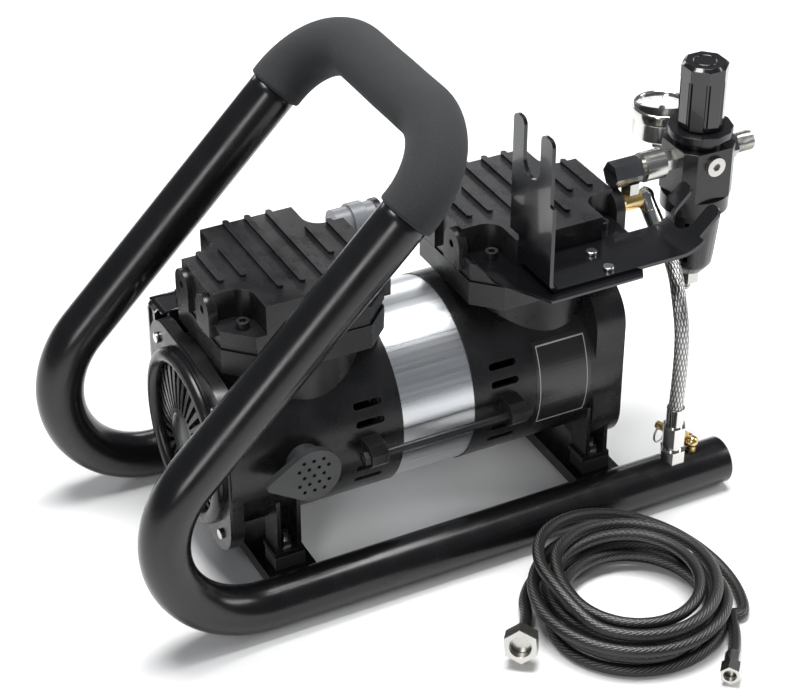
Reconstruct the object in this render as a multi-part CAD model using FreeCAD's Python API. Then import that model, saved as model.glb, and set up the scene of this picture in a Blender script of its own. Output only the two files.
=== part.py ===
import FreeCAD, Part
import math
import os
from FreeCAD import Vector

# Twin-head airbrush compressor on a bent-tube frame that is also its air tank.
# Millimetres. Origin: on the floor, under the middle of the object's box.
# +X runs along the motor shaft towards the air outlet, -Y is the front, +Z is up.

X, Y, Z = Vector(1, 0, 0), Vector(0, 1, 0), Vector(0, 0, 1)

# ---- driving dimensions ---------------------------------------------------------------
# frame tube
tube_r = 19.05            # 38.1 mm (1.5 in) tube
tube_wall = 2.0
rail_half_gap = 109.2     # centre plane to the centre of each side tube
tube_end_x = 219.6        # open ends of the floor tubes
lower_bend_x = -184.8     # centre of the lower bends
lower_bend_r = 79.7
leg_angle = 45.0
leg_length = 245.4
top_bend_r = 58.2
grip_thickness = 3.2
grip_overlap = 6.0        # foam past the start of each top bend
end_cap_thick = 4.0
# cross rails and feet
cross_rail_width = 40.0
cross_rail_top = 16.0
cross_rail_height = 11.0
cross_rail_wall = 3.0
foot_y = 63.0
foot_reach_left = 127.1   # feet from the motor's middle
foot_reach_right = 146.0
bush_length, bush_width, bush_height = 25.0, 20.0, 11.0
foot_pad_thick = 4.0
foot_bolt_r = 3.0
# motor
motor_x = -23.4           # middle of the bright band
motor_z = 110.0
band_half = 31.0
band_r = 75.2
drum_r = 76.0
drum_wall = 4.0
end_half = 74.0           # half the side of the square end flanges
left_corner_r, right_corner_r = 30.0, 34.0
cover_screw_at, cover_screw_r = 56.0, 2.0
flange_thick = 9.0
cover_slots, cover_slot_from, cover_slot_to = 30, 23.0, 59.0
cover_slot_half = (1.2, 3.1)   # half width at the hub and at the rim
left_end_reach = 173.5    # outer faces of the end flanges from the motor's middle
right_end_reach = 163.5
right_flange_thick = 24.0
shaft_r = 6.0
web_thick = 6.0
core_half = 25.0
core_bore_r = 36.0
bearing_r = 13.0
fan_r = 62.0
lug_half_x, lug_reach, lug_half_z = 7.0, 95.0, 10.0
rod_y, rod_r = 88.0, 3.0         # tie rods
air_gap = 0.5
# cylinder heads
left_head_x = -119.9
right_head_x = 85.6
head_half_x = 66.5
head_half_y = 61.0
head_chamfer = 20.0
neck_r = 60.0
block_bottom = 188.0
block_top = 208.0
valve_plate_thick = 6.0
head_base_thick = 10.0
head_top_z = 248.0
rib_pitch, rib_width, rib_height = 17.8, 5.0, 3.0
side_boss_r = 12.0
head_bolt_x, head_bolt_y = 49.0, 43.0
head_bolt_r, bolt_head_r, bolt_head_h = 3.0, 5.0, 6.0
bore_r = 25.0
outlet_bore_r = 5.0
recess_x, recess_y, recess_r = head_half_x - 28.5, head_half_y - 33.0, 14.0
liner_wall = 3.0
liner_length = 45.0
crank_throw = 9.0
eccentric_r = 12.0
piston_height = 10.0
running = 0.05            # radial running clearance
# intake filter, switch box, capacitor
filter_x, filter_z, filter_bore_r, filter_neck_r = -138.6, 114.0, 9.0, 15.0
filter_face_y, filter_cover_thick = -95.0, 6.0
box_reach_near, box_reach_far = 3.0, 66.0     # the box, from the left end
box_y1, box_z0, box_z1 = 88.5, 81.0, 185.0
switch_reach, switch_y = 36.0, 76.0
gland_reach, gland_y = 20.0, 79.0
cap_x0, cap_x1, cap_y, cap_z, cap_r = -47.9, -7.9, 60.0, 222.0, 13.0
# regulator and air fittings
reg_x, reg_y, port_z = 234.1, -22.0, 257.0
reg_body_half = 24.0
reg_body_low, reg_body_high = 31.5, 12.5   # below and above the port axis
reg_corner = 8.0
bonnet_neck_r, bonnet_neck = 20.0, 7.0
lock_ring_across, lock_ring_thick = 51.0, 6.0
knob_r = 18.3
knob_low, knob_high = 284.0, 338.0
bowl_top_r, bowl_low_r, bowl_collar_r = 23.0, 17.5, 27.5
bowl_low_z = 152.0
outlet_thread_r = 8.33    # G3/8 male
outlet_hex_length = 9.0
outlet_thread_length = 16.5
gauge_x, gauge_y, gauge_face_z = 234.1, 32.0, 276.0
gauge_r, gauge_depth = 24.5, 26.0
needle_angle = 225.0
manifold_across = 19.0
coupling_length = 18.0
# safety valve
valve_x, valve_z = 190.0, 46.0
valve_turn = 20.5         # its axis, from +Y towards -X
valve_stub_r, valve_pin_r = 4.0, 1.5
valve_hole_reach = 32.0   # the ring's hole, from the elbow
pull_ring_r, pull_wire_r = 7.5, 0.9
# airbrush holder
holder_left_x, holder_right_x = 48.1, 164.1
holder_front_y, holder_back_y = -110.0, -63.0
holder_thick = 3.0
fork_top_z = 352.0
fork_low_z = 309.0
wing_rise = 27.0
wing_inset = 6.0          # the wing is narrower than the base, at the front
adapter_thick = 2.5
holder_screw_x, holder_screw_y = 104.1, (-77.0, -102.0)
prong_width, prong_gap, prong_tip_r = 14.0, 24.0, 6.0
base_back_h = (24.0, 12.0)   # each fork reaches further back above this height
bend_inner_r, wing_bend_r = 7.0, 30.0
# hoses
transfer_hose_r = 6.0
ferrule_length = 17.0
bung_r = 7.0
hose_out = Vector(0, -0.77, -0.64).normalize()
tank_port_x = 171.1
coil_x, coil_y = 64.1, -222.0
coil_outer_r, coil_inner_r, coil_height = 80.0, 46.0, 44.0
air_hose_r = 5.0
inlet_tail = [Vector(-5, -178, 8), Vector(-13, -199, 9), Vector(-27, -218, 14.5)]
outlet_tail = [Vector(126, -262, 9), Vector(116, -287, 8), Vector(100, -306, 9)]

drum_inner_r = drum_r - drum_wall
left_end_x = motor_x - left_end_reach
right_end_x = motor_x + right_end_reach
head_base_z = block_top + valve_plate_thick
ledge_z = head_base_z + head_base_thick
foot_x = (motor_x - foot_reach_left, motor_x + foot_reach_right)
foot_pad_top = cross_rail_top + bush_height + foot_pad_thick
foot_stud_top = foot_pad_top + 13.0
nut_pocket_r = 8.0
head_xs = (left_head_x, right_head_x)
left_web_x, right_web_x = left_end_x + 32.0, right_end_x - 30.0
core_outer_r = band_r - 3.4
big_eye_inner = eccentric_r + 2 * crank_throw + 1.5
piston_top = block_top - crank_throw - 0.6
box_x0, box_x1 = left_end_x + box_reach_near, left_end_x + box_reach_far
switch_x, gland_x = left_end_x + switch_reach, left_end_x + gland_reach
boss_face_x = right_head_x + head_half_x + 7.0
fitting_z = head_top_z - 18
manifold_x0, manifold_x1 = right_head_x + head_half_x + 1.0, boss_face_x + 19.0
elbow_x = boss_face_x + 27.0
hose_top = Vector(elbow_x, reg_y, fitting_z) + hose_out * 14.0
tank_port = Vector(tank_port_x, -rail_half_gap, 2 * tube_r)
reg_axis = Vector(reg_x, reg_y, 0)
body_low_z, body_high_z = port_z - reg_body_low, port_z + reg_body_high
gauge_port_z = port_z - 19.0
gauge_low_z = gauge_face_z - gauge_depth
base_z = ledge_z + adapter_thick
coil_centre = Vector(coil_x, coil_y, 0)
valve_way = Vector(-math.sin(math.radians(valve_turn)), math.cos(math.radians(valve_turn)), 0)


# ---- helpers --------------------------------------------------------------------------
def save(node, shape):
    shape.exportStep("parts/%s.step" % node)


def box(x0, x1, y0, y1, z0, z1):
    return Part.makeBox(x1 - x0, y1 - y0, z1 - z0, Vector(x0, y0, z0))


def rod(base, axis, radius, length):
    return Part.makeCylinder(radius, length, base, axis)


def ring(base, axis, outer, inner, length):
    return rod(base, axis, outer, length).cut(rod(base, axis, inner, length))


def cone(base, axis, r_start, r_end, length):
    return Part.makeCone(r_start, r_end, length, base, axis)


def hexagon(base, axis, across_flats, length, sides=6, turn=0.0):
    """Prism with flats across_flats apart, along axis from base."""
    corner_r = across_flats / 2 / math.cos(math.pi / sides)
    corners = []
    for i in range(sides + 1):
        a = 2 * math.pi * i / sides + math.radians(turn)
        corners.append(Vector(corner_r * math.cos(a), corner_r * math.sin(a), 0))
    prism = Part.Face(Part.makePolygon(corners)).extrude(Vector(0, 0, length))
    prism.Placement = FreeCAD.Placement(base, FreeCAD.Rotation(Z, axis))
    return prism


def fuse(shapes):
    whole = shapes[0]
    for shape in shapes[1:]:
        whole = whole.fuse(shape)
    return whole.removeSplitter()


def group(shapes):
    return Part.makeCompound(shapes)


def octagon_plate(cx, half_x, half_y, chamfer, z0, z1):
    hx, hy, c = half_x, half_y, chamfer
    outline = [(-hx, -hy + c), (-hx + c, -hy), (hx - c, -hy), (hx, -hy + c),
               (hx, hy - c), (hx - c, hy), (-hx + c, hy), (-hx, hy - c), (-hx, -hy + c)]
    corners = [Vector(cx + px, py, z0) for px, py in outline]
    return Part.Face(Part.makePolygon(corners)).extrude(Vector(0, 0, z1 - z0))


def square_end(x0, x1, half, corner_r):
    """Rounded square around the motor axis, from x0 to x1."""
    block = box(x0, x1, -half, half, motor_z - half, motor_z + half)
    return block.makeFillet(corner_r, [e for e in block.Edges
                                       if abs(e.tangentAt(e.FirstParameter).x) > 0.99])


def bent_path(points, radii):
    """Straight runs between points, joined by tangent arcs of the given radii."""
    edges, start = [], points[0]
    for i in range(1, len(points) - 1):
        to_prev = (points[i - 1] - points[i]).normalize()
        to_next = (points[i + 1] - points[i]).normalize()
        half_turn = (math.pi - to_prev.getAngle(to_next)) / 2
        trim = radii[i - 1] * math.tan(half_turn)
        a, b = points[i] + to_prev * trim, points[i] + to_next * trim
        middle = (to_prev + to_next).normalize()
        centre_gap = radii[i - 1] / math.cos(half_turn)
        mid = points[i] + middle * (centre_gap - radii[i - 1])
        edges += [Part.LineSegment(start, a).toShape(), Part.Arc(a, mid, b).toShape()]
        start = b
    edges.append(Part.LineSegment(start, points[-1]).toShape())
    return Part.Wire(edges)


def pipe(path, radius, inner=None):
    """Round bar or tube swept along a tangent path."""
    first = path.Edges[0]
    origin, along = first.valueAt(first.FirstParameter), first.tangentAt(first.FirstParameter)
    solids = []
    for r in [radius] + ([inner] if inner else []):
        profile = Part.Wire(Part.makeCircle(r, origin, along))
        solids.append(path.makePipeShell([profile], True, False))
    return solids[0].cut(solids[1]) if inner else solids[0]


def arc_radii(points):
    """The largest arc that each corner of a cord's route allows."""
    radii = []
    for i in range(1, len(points) - 1):
        before, after = points[i] - points[i - 1], points[i + 1] - points[i]
        half_turn = before.getAngle(after) / 2
        radii.append(0.45 * min(before.Length, after.Length) / math.tan(half_turn))
    return radii


def cord_tube(name, points, radius):
    """Tube of a cord along its route; prints its radii and its volume against its length."""
    path = bent_path(points, arc_radii(points))
    tube = pipe(path, radius)
    expected = path.Length * math.pi * radius ** 2
    print(name, "radii", [round(r, 1) for r in arc_radii(points)],
          "length", round(path.Length, 1), "volume ratio", round(tube.Volume / expected, 4))
    return tube


def mirrored(shape):
    return shape.mirror(Vector(0, 0, 0), Y)


# ---- frame and tank -------------------------------------------------------------------
leg_dir = Vector(math.cos(math.radians(leg_angle)), 0, math.sin(math.radians(leg_angle)))
bend_turn = math.radians(180 - leg_angle)
bend_trim = lower_bend_r * math.tan(bend_turn / 2)
bend_corner = Vector(lower_bend_x - bend_trim, -rail_half_gap, tube_r)
leg_start = bend_corner + leg_dir * bend_trim
leg_end = leg_start + leg_dir * leg_length
top_corner = leg_end + leg_dir * top_bend_r


def tube_outer_cutter(side):
    """The outside of one floor tube, to cope what is welded against it."""
    return rod(Vector(lower_bend_x, side * rail_half_gap, tube_r), X, tube_r,
               tube_end_x - lower_bend_x)


def make_frame():
    start = Vector(tube_end_x, -rail_half_gap, tube_r)
    path = bent_path([start, bend_corner, leg_end], [lower_bend_r])
    front = pipe(path, tube_r, tube_r - tube_wall)
    for x, radius in ((tank_port_x, bung_r), (valve_x, valve_stub_r)):
        front = front.cut(rod(Vector(x, -rail_half_gap, tube_r), Z, radius, 2 * tube_r))
    save("front_side_tube", front)
    plain = pipe(path, tube_r, tube_r - tube_wall)
    save("rear_side_tube", mirrored(plain))

    far_corner = Vector(top_corner.x, -top_corner.y, top_corner.z)
    far_end = Vector(leg_end.x, -leg_end.y, leg_end.z)
    handle_path = bent_path([leg_end, top_corner, far_corner, far_end], [top_bend_r - 0.01] * 2)
    save("handle_tube", pipe(handle_path, tube_r, tube_r - tube_wall))

    grip_start = leg_end - leg_dir * grip_overlap
    grip_far = Vector(grip_start.x, -grip_start.y, grip_start.z)
    grip_path = bent_path([grip_start, top_corner, far_corner, grip_far], [top_bend_r - 0.01] * 2)
    save("foam_grip", pipe(grip_path, tube_r + grip_thickness, tube_r))

    caps = [rod(Vector(tube_end_x - end_cap_thick, side * rail_half_gap, tube_r), X,
                tube_r - tube_wall, end_cap_thick) for side in (-1, 1)]
    save("tube_end_caps", group(caps))


def cross_rail(centre_x):
    half, reach = cross_rail_width / 2, rail_half_gap
    low = cross_rail_top - cross_rail_height
    rail = box(centre_x - half, centre_x + half, -reach, reach, low, cross_rail_top)
    inner = half - cross_rail_wall
    rail = rail.cut(box(centre_x - inner, centre_x + inner, -reach, reach, low,
                        cross_rail_top - cross_rail_wall))
    for side in (-1, 1):
        rail = rail.cut(tube_outer_cutter(side))
        rail = rail.cut(rod(Vector(centre_x, side * foot_y, 0), Z, foot_bolt_r, cross_rail_top))
    return rail


def make_feet():
    bushes, bolts, nuts = [], [], []
    nut_z = foot_pad_top
    for x in foot_x:
        for side in (-1, 1):
            y = side * foot_y
            bush = box(x - bush_length / 2, x + bush_length / 2, y - bush_width / 2,
                       y + bush_width / 2, cross_rail_top, cross_rail_top + bush_height)
            bushes.append(bush.cut(rod(Vector(x, y, 0), Z, foot_bolt_r, nut_z)))
            head_z = cross_rail_top - cross_rail_wall - foot_bolt_r
            bolts.append(hexagon(Vector(x, y, head_z), Z, 10, foot_bolt_r).fuse(
                rod(Vector(x, y, head_z), Z, foot_bolt_r, foot_stud_top - head_z)))
            nut = rod(Vector(x, y, nut_z), Z, 6.5, 1.2).fuse(
                hexagon(Vector(x, y, nut_z + 1.2), Z, 10, 5.5))
            nuts.append(nut.cut(rod(Vector(x, y, nut_z), Z, foot_bolt_r, 10)))
    save("foot_bushes", group(bushes))
    save("foot_fasteners", group(bolts + nuts))


# ---- motor ----------------------------------------------------------------------------
def on_axis(x):
    return Vector(x, 0, motor_z)


def vent_slots(x0, x1):
    """Rounded slots through the drum wall, above and below each tie-rod lug."""
    slots, width = [], 6.0
    for angle in (26.5, 15.5, -15.5, -26.5):
        for side in (0, 180):
            slot = box(x0, x1, drum_inner_r - 8, drum_r + 4, -width / 2, width / 2)
            slot = slot.makeFillet(width / 2 - 0.1, [e for e in slot.Edges if
                                   abs(e.tangentAt(e.FirstParameter).y) > 0.99])
            slot.rotate(Vector(0, 0, 0), X, -(angle if side else -angle) + side)
            slot.translate(Vector(0, 0, motor_z))
            slots.append(slot)
    return slots


def tie_lug(x, side):
    """Tapered lug on the drum that the tie rod passes through."""
    lug = box(x - lug_half_x, x + lug_half_x, drum_inner_r + 2, lug_reach,
              motor_z - lug_half_z, motor_z + lug_half_z)
    lug = lug.makeChamfer(6.0, [e for e in lug.Edges if e.CenterOfMass.y > lug_reach - 0.1
                                and abs(e.tangentAt(e.FirstParameter).x) > 0.99])
    lug = lug.cut(rod(Vector(x - 20, rod_y, motor_z), X, rod_r + 0.2, 40))
    return lug if side > 0 else mirrored(lug)


def foot_leg(x, side):
    """Cast leg from the drum down to a pad on the rubber bush."""
    pad_low = cross_rail_top + bush_height
    y0, y1 = foot_y - 13, foot_y + 9
    leg = box(x - 10, x + 10, y0, foot_y - 6.6, pad_low, motor_z - 20)
    leg = leg.fuse(box(x - 10, x - 7, y0, y1, pad_low, motor_z - 30))
    leg = leg.fuse(box(x + 7, x + 10, y0, y1, pad_low, motor_z - 30))
    leg = leg.cut(rod(on_axis(x - 20), X, drum_inner_r + 1, 40))
    pad = box(x - 12.5, x + 12.5, y0, y1, pad_low, pad_low + foot_pad_thick)
    leg = leg.fuse(pad).cut(rod(Vector(x, foot_y, pad_low), Z, foot_bolt_r, foot_pad_thick))
    return leg if side > 0 else mirrored(leg)


def make_housing(node, sign, head_x, end_x, end_thick, corner_r, web_x, foot):
    inner_x = motor_x + sign * band_half
    low, high = min(inner_x, end_x), max(inner_x, end_x)
    end_low, end_high = sorted((end_x, end_x - sign * end_thick))
    shell = rod(on_axis(low), X, drum_r, high - low)
    shell = shell.fuse(square_end(end_low, end_high, end_half, corner_r))
    neck = rod(Vector(head_x, 0, motor_z), Z, neck_r, block_bottom - motor_z)
    shell = shell.fuse(neck.common(box(low, high, -neck_r, neck_r, motor_z, block_bottom)))
    shell = shell.fuse(octagon_plate(head_x, head_half_x, head_half_y, head_chamfer,
                                     block_bottom, block_top))
    lug_x = inner_x + sign * 29.0
    for side in (-1, 1):
        shell = shell.fuse(tie_lug(lug_x, side)).fuse(foot_leg(foot, side))
    shell = shell.cut(rod(on_axis(low), X, drum_inner_r, high - low))
    for side in (-1, 1):
        shell = shell.cut(rod(Vector(foot, side * foot_y, foot_pad_top), Z, nut_pocket_r,
                              foot_stud_top + 1 - foot_pad_top))
    slot_x = sorted((inner_x + sign * 15.0, inner_x + sign * 39.0))
    for slot in vent_slots(*slot_x):
        shell = shell.cut(slot)
    # bearing web across the drum, with windows for the cooling air
    web = ring(on_axis(web_x), X, drum_inner_r, bearing_r, web_thick)
    for i in range(6):
        window = rod(on_axis(web_x), X, 14.0, web_thick)
        window.translate(Vector(0, 46, 0))
        window.rotate(on_axis(0), X, 60 * i)
        web = web.cut(window)
    shell = shell.fuse(web)
    shell = shell.cut(rod(Vector(head_x, 0, motor_z), Z, bore_r + liner_wall,
                          block_top - motor_z))
    for dx in (-1, 1):
        for dy in (-1, 1):
            shell = shell.cut(rod(Vector(head_x + dx * head_bolt_x, dy * head_bolt_y,
                                         block_top - 14), Z, head_bolt_r, 14))
    for dy in (-1, 1):
        for dz in (-1, 1):
            hole = rod(Vector(end_low, dy * cover_screw_at, motor_z + dz * cover_screw_at), X,
                       cover_screw_r, end_high - end_low)
            shell = shell.cut(hole)
    if sign < 0:
        shell = shell.cut(rod(Vector(filter_x, -drum_inner_r + 12, filter_z), -Y, filter_bore_r, 20))
    save(node, shell)


def make_motor():
    low = motor_x - band_half
    save("motor_band", ring(on_axis(low), X, band_r, core_outer_r, 2 * band_half))
    core = ring(on_axis(motor_x - core_half), X, core_outer_r, core_bore_r, 2 * core_half)
    windings = [core]
    for x in (motor_x - core_half - 16, motor_x + core_half):
        winding = ring(on_axis(x), X, core_outer_r - 8, core_bore_r + 6, 16)
        windings.append(winding.makeFillet(4.0, winding.Edges[:1]))
    save("stator", group(windings))
    shaft_low, shaft_high = left_end_x + 4, right_end_x - 3
    shaft = rod(on_axis(shaft_low), X, shaft_r, shaft_high - shaft_low)
    save("rotor", group([shaft, ring(on_axis(motor_x - core_half), X, core_bore_r - air_gap,
                                     shaft_r, 2 * core_half)]))
    bearings = [ring(on_axis(x), X, bearing_r, shaft_r + running, web_thick)
                for x in (left_web_x, right_web_x)]
    save("shaft_bearings", group(bearings))


def fan(x0, length):
    """Radial blades on a back plate and hub."""
    hub = rod(on_axis(x0), X, 16, length)
    plate = rod(on_axis(x0), X, fan_r - 6, 2.0)
    parts = [hub, plate]
    for i in range(8):
        blade = box(x0, x0 + length, 14, fan_r, motor_z - 1.0, motor_z + 1.0)
        blade.rotate(on_axis(0), X, 45 * i)
        parts.append(blade)
    return fuse(parts).cut(rod(on_axis(x0), X, shaft_r, length))


def make_left_fan_cover():
    """Shallow domed cover with radial slots round a closed hub."""
    depth, rim_r, wall = 9.0, 70.0, 2.5
    ball_r = (rim_r ** 2 + depth ** 2) / (2 * depth)
    centre = on_axis(left_end_x - depth + ball_r)
    outer = Part.makeSphere(ball_r, centre).cut(Part.makeSphere(ball_r - wall, centre))
    dome = outer.common(rod(on_axis(left_end_x - depth - 1), X, rim_r, depth + 1))
    rim = ring(on_axis(left_end_x - 3.5), X, rim_r, rim_r - 6, 3.5)
    plate = square_end(left_end_x - 2.0, left_end_x, end_half, left_corner_r)
    plate = plate.cut(rod(on_axis(left_end_x - 3), X, rim_r - 6, 4))
    cover = dome.fuse(rim).fuse(plate)
    for i in range(cover_slots):
        half_in, half_out = cover_slot_half
        slot = Part.makePolygon([Vector(left_end_x - 20, r, motor_z + h) for r, h in (
            (cover_slot_from, -half_in), (cover_slot_to, -half_out), (cover_slot_to, half_out),
            (cover_slot_from, half_in), (cover_slot_from, -half_in))])
        slot = Part.Face(slot).extrude(Vector(21, 0, 0))
        slot.rotate(on_axis(0), X, 360 / cover_slots * i)
        cover = cover.cut(slot)
    for dy in (-1, 1):
        for dz in (-1, 1):
            cover = cover.cut(rod(Vector(left_end_x - 8, dy * cover_screw_at,
                                         motor_z + dz * cover_screw_at), X, cover_screw_r, 10))
    save("left_fan_cover", cover)


def make_right_end_cover():
    depth, rim_r, wall = 13.0, 68.0, 2.5
    ball_r = (rim_r ** 2 + depth ** 2) / (2 * depth)
    centre = on_axis(right_end_x + 2 + depth - ball_r)
    dome = Part.makeSphere(ball_r, centre).cut(Part.makeSphere(ball_r - wall, centre))
    dome = dome.common(rod(on_axis(right_end_x + 1.9), X, rim_r, depth + 2))
    plate = square_end(right_end_x, right_end_x + 2.0, end_half, right_corner_r)
    plate = plate.cut(rod(on_axis(right_end_x - 1), X, rim_r - 6, 4))
    cover = dome.fuse(plate).fuse(ring(on_axis(right_end_x), X, rim_r, rim_r - 6, 3.0))
    for i in range(12):
        slot = rod(on_axis(right_end_x), X, 3.0, 30)
        slot.translate(Vector(0, 44, 0))
        slot.rotate(on_axis(0), X, 30 * i)
        cover = cover.cut(slot)
    for dy in (-1, 1):
        for dz in (-1, 1):
            cover = cover.cut(rod(Vector(right_end_x - 1, dy * cover_screw_at,
                                         motor_z + dz * cover_screw_at), X, cover_screw_r, 10))
    save("right_end_cover", cover)


def cover_screws():
    screws = []
    for dy in (-1, 1):
        for dz in (-1, 1):
            y, z = dy * cover_screw_at, motor_z + dz * cover_screw_at
            for face, way in ((left_end_x - 2.0, -1), (right_end_x + 2.0, 1)):
                head = rod(Vector(face, y, z), X * way, 4.2, 2.6)
                shank_len = 10.0 if way < 0 else 14.0
                shank = rod(Vector(face, y, z), X * -way, cover_screw_r, shank_len)
                screws.append(head.fuse(shank))
    return screws


def make_tie_rods():
    rods, nuts = [], []
    x0, x1 = motor_x - band_half - 42, motor_x + band_half + 42
    left_face = motor_x - band_half - 29 - lug_half_x
    right_face = motor_x + band_half + 29 + lug_half_x
    for side in (-1, 1):
        y = side * rod_y
        rods.append(rod(Vector(x0, y, motor_z), X, rod_r, x1 - x0))
        for face, way in ((left_face, -1), (right_face, 1)):
            nut = hexagon(Vector(face, y, motor_z), X * way, 10, 5)
            nuts.append(nut.cut(rod(Vector(x0, y, motor_z), X, rod_r, x1 - x0)))
    save("tie_rods", group(rods + nuts))


# ---- crank, pistons and cylinders -----------------------------------------------------


def eccentric(head_x, throw_side):
    """Eccentric and its balance weight, pressed on the shaft."""
    disc = rod(on_axis(head_x - 6), X, eccentric_r, 12)
    disc.translate(Vector(0, throw_side * crank_throw, 0))
    weight = rod(on_axis(head_x + 8), X, 24, 8).cut(
        box(head_x, head_x + 30, *sorted((0, throw_side * 40)), motor_z - 40, motor_z + 40))
    whole = fuse([disc, rod(on_axis(head_x - 6), X, 11, 22), weight])
    return whole.cut(rod(on_axis(head_x - 10), X, shaft_r, 40))


def piston_rod(head_x):
    """Wobble-type piston in one with its rod and big end."""
    crown = rod(Vector(head_x, 0, piston_top - piston_height), Z, bore_r - running,
                piston_height)
    stem = box(head_x - 5, head_x + 5, -7, 7, motor_z + big_eye_inner + 2,
               piston_top - piston_height)
    eye = ring(Vector(head_x - 5, 0, motor_z), X, big_eye_inner + 5, big_eye_inner, 10)
    return fuse([crown, stem, eye])


def cylinder_liner(head_x):
    return ring(Vector(head_x, 0, block_top - liner_length), Z, bore_r + liner_wall, bore_r,
                liner_length)


def make_head(node, head_x):
    base = octagon_plate(head_x, head_half_x, head_half_y, head_chamfer, head_base_z, ledge_z)
    body = box(head_x - head_half_x, head_x + head_half_x, -head_half_y, head_half_y,
               ledge_z, head_top_z)
    for dx in (-1, 1):
        for dy in (-1, 1):
            x0, x1 = sorted((head_x + dx * recess_x, head_x + dx * (head_half_x + 5)))
            y0, y1 = sorted((dy * recess_y, dy * (head_half_y + 5)))
            pocket = box(x0, x1, y0, y1, ledge_z, head_top_z + 5)
            corner = [e for e in pocket.Edges
                      if abs(e.tangentAt(e.FirstParameter).z) > 0.99
                      and abs(e.CenterOfMass.x - head_x) < recess_x + 1
                      and abs(e.CenterOfMass.y) < recess_y + 1]
            body = body.cut(pocket.makeFillet(recess_r, corner))
    head = base.fuse(body)
    for i in range(-3, 4):
        long_rib = abs(i) < 2
        y0, y1 = (-41.0, head_half_y - 2.5) if long_rib else (-15.0, recess_y - 2.5)
        x = head_x + i * rib_pitch
        rib = box(x - rib_width / 2, x + rib_width / 2, y0, y1, head_top_z - 1,
                  head_top_z + rib_height)
        for end in (y0, y1):
            rib = rib.fuse(rod(Vector(x, end, head_top_z - 1), Z, rib_width / 2, rib_height + 1))
        head = head.fuse(rib)
    for y in (-19.5, 19.5):
        head = head.fuse(boss(head_x - head_half_x - 4.5, 7.5, y, head_top_z - 16, side_boss_r))
    head = head.fuse(boss(head_x + head_half_x - 1, 8.0, reg_y, head_top_z - 18, 16.0))
    for y in (-19.5, 19.5):
        head = head.cut(rod(Vector(head_x - head_half_x - 5, y, head_top_z - 16), X, 3.2, 9))
    # hollow pressure chamber above the valve plate, and the port out of it
    chamber = box(head_x - 32, head_x + 32, -40, 40, head_base_z, head_top_z - 8)
    head = head.cut(chamber.makeFillet(6.0, [e for e in chamber.Edges if
                    abs(e.tangentAt(e.FirstParameter).z) > 0.99]))
    head = head.cut(rod(Vector(head_x, reg_y, head_top_z - 18), X, outlet_bore_r, 80))
    for dx in (-1, 1):
        for dy in (-1, 1):
            head = head.cut(rod(Vector(head_x + dx * head_bolt_x, dy * head_bolt_y,
                                       head_base_z), Z, head_bolt_r, head_base_thick))
    save(node, head.removeSplitter())


def boss(x0, length, y, z, radius):
    """Round-topped boss that stands on the head's base flange."""
    round_top = rod(Vector(x0, y, z), X, radius, length)
    return round_top.fuse(box(x0, x0 + length, y - radius, y + radius, head_base_z, z))


def valve_plate(head_x):
    plate = octagon_plate(head_x, head_half_x - 1.2, head_half_y - 1.2, head_chamfer,
                          block_top, head_base_z)
    for dx in (-1, 1):
        plate = plate.cut(rod(Vector(head_x + dx * 12, 0, block_top), Z, 4.0,
                              valve_plate_thick))
        for dy in (-1, 1):
            plate = plate.cut(rod(Vector(head_x + dx * head_bolt_x, dy * head_bolt_y,
                                         block_top), Z, head_bolt_r, valve_plate_thick))
    return plate


def reed_valves():
    return [box(x + dx * 12 - 6, x + dx * 12 + 6, -8, 22, head_base_z, head_base_z + 0.5)
            for x in head_xs for dx in (-1, 1)]


def make_head_bolts():
    bolts = []
    for x in head_xs:
        for dx in (-1, 1):
            for dy in (-1, 1):
                seat = ledge_z + (adapter_thick if x == right_head_x and dy < 0 else 0)
                centre = Vector(x + dx * head_bolt_x, dy * head_bolt_y, seat)
                head = rod(centre, Z, bolt_head_r, bolt_head_h)
                head = head.cut(hexagon(centre + Z * 3, Z, 5.0, bolt_head_h))
                low = block_top - 12
                bolts.append(head.fuse(rod(Vector(centre.x, centre.y, low), Z, head_bolt_r,
                                           seat - low)))
    save("head_bolts", group(bolts))


# ---- intake filter, switch box, capacitor ---------------------------------------------
def teardrop(cx, cz, big_r, small_r, reach, y, depth):
    """Round plate drawn out to a blunt point towards -X."""
    lean = math.asin((big_r - small_r) / reach)
    sx, cz2 = cx - reach, cz
    up = Vector(-math.sin(lean), 0, math.cos(lean))
    down = Vector(-math.sin(lean), 0, -math.cos(lean))
    big, small = Vector(cx, y, cz), Vector(sx, y, cz2)
    outline = Part.Wire([
        Part.LineSegment(big + up * big_r, small + up * small_r).toShape(),
        Part.Arc(small + up * small_r, small - X * small_r, small + down * small_r).toShape(),
        Part.LineSegment(small + down * small_r, big + down * big_r).toShape(),
        Part.Arc(big + down * big_r, big + X * big_r, big + up * big_r).toShape()])
    return Part.Face(outline).extrude(Vector(0, -depth, 0))


def make_filter():
    neck_from = -drum_r + 9
    neck_to = filter_face_y + filter_cover_thick
    neck = ring(Vector(filter_x, neck_from, filter_z), -Y, filter_neck_r, filter_bore_r + 3,
                neck_from - neck_to)
    neck = neck.cut(rod(on_axis(filter_x - 30), X, drum_r, 60))
    element = rod(Vector(filter_x, -drum_r - 2, filter_z), -Y, filter_bore_r + 3,
                  -drum_r - 2 - neck_to)
    save("filter_neck", group([neck, element]))
    cover = teardrop(filter_x, filter_z, 22.0, 4.0, 34.0, neck_to, filter_cover_thick)
    for row, count in ((-2, 3), (-1, 4), (0, 3), (1, 4), (2, 3)):
        for i in range(count):
            x = filter_x + (i - (count - 1) / 2) * 8.0
            cover = cover.cut(rod(Vector(x, neck_to + 1, filter_z + row * 6.6), -Y, 1.5,
                                  filter_cover_thick + 2))
    save("filter_cover", cover)


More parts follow.
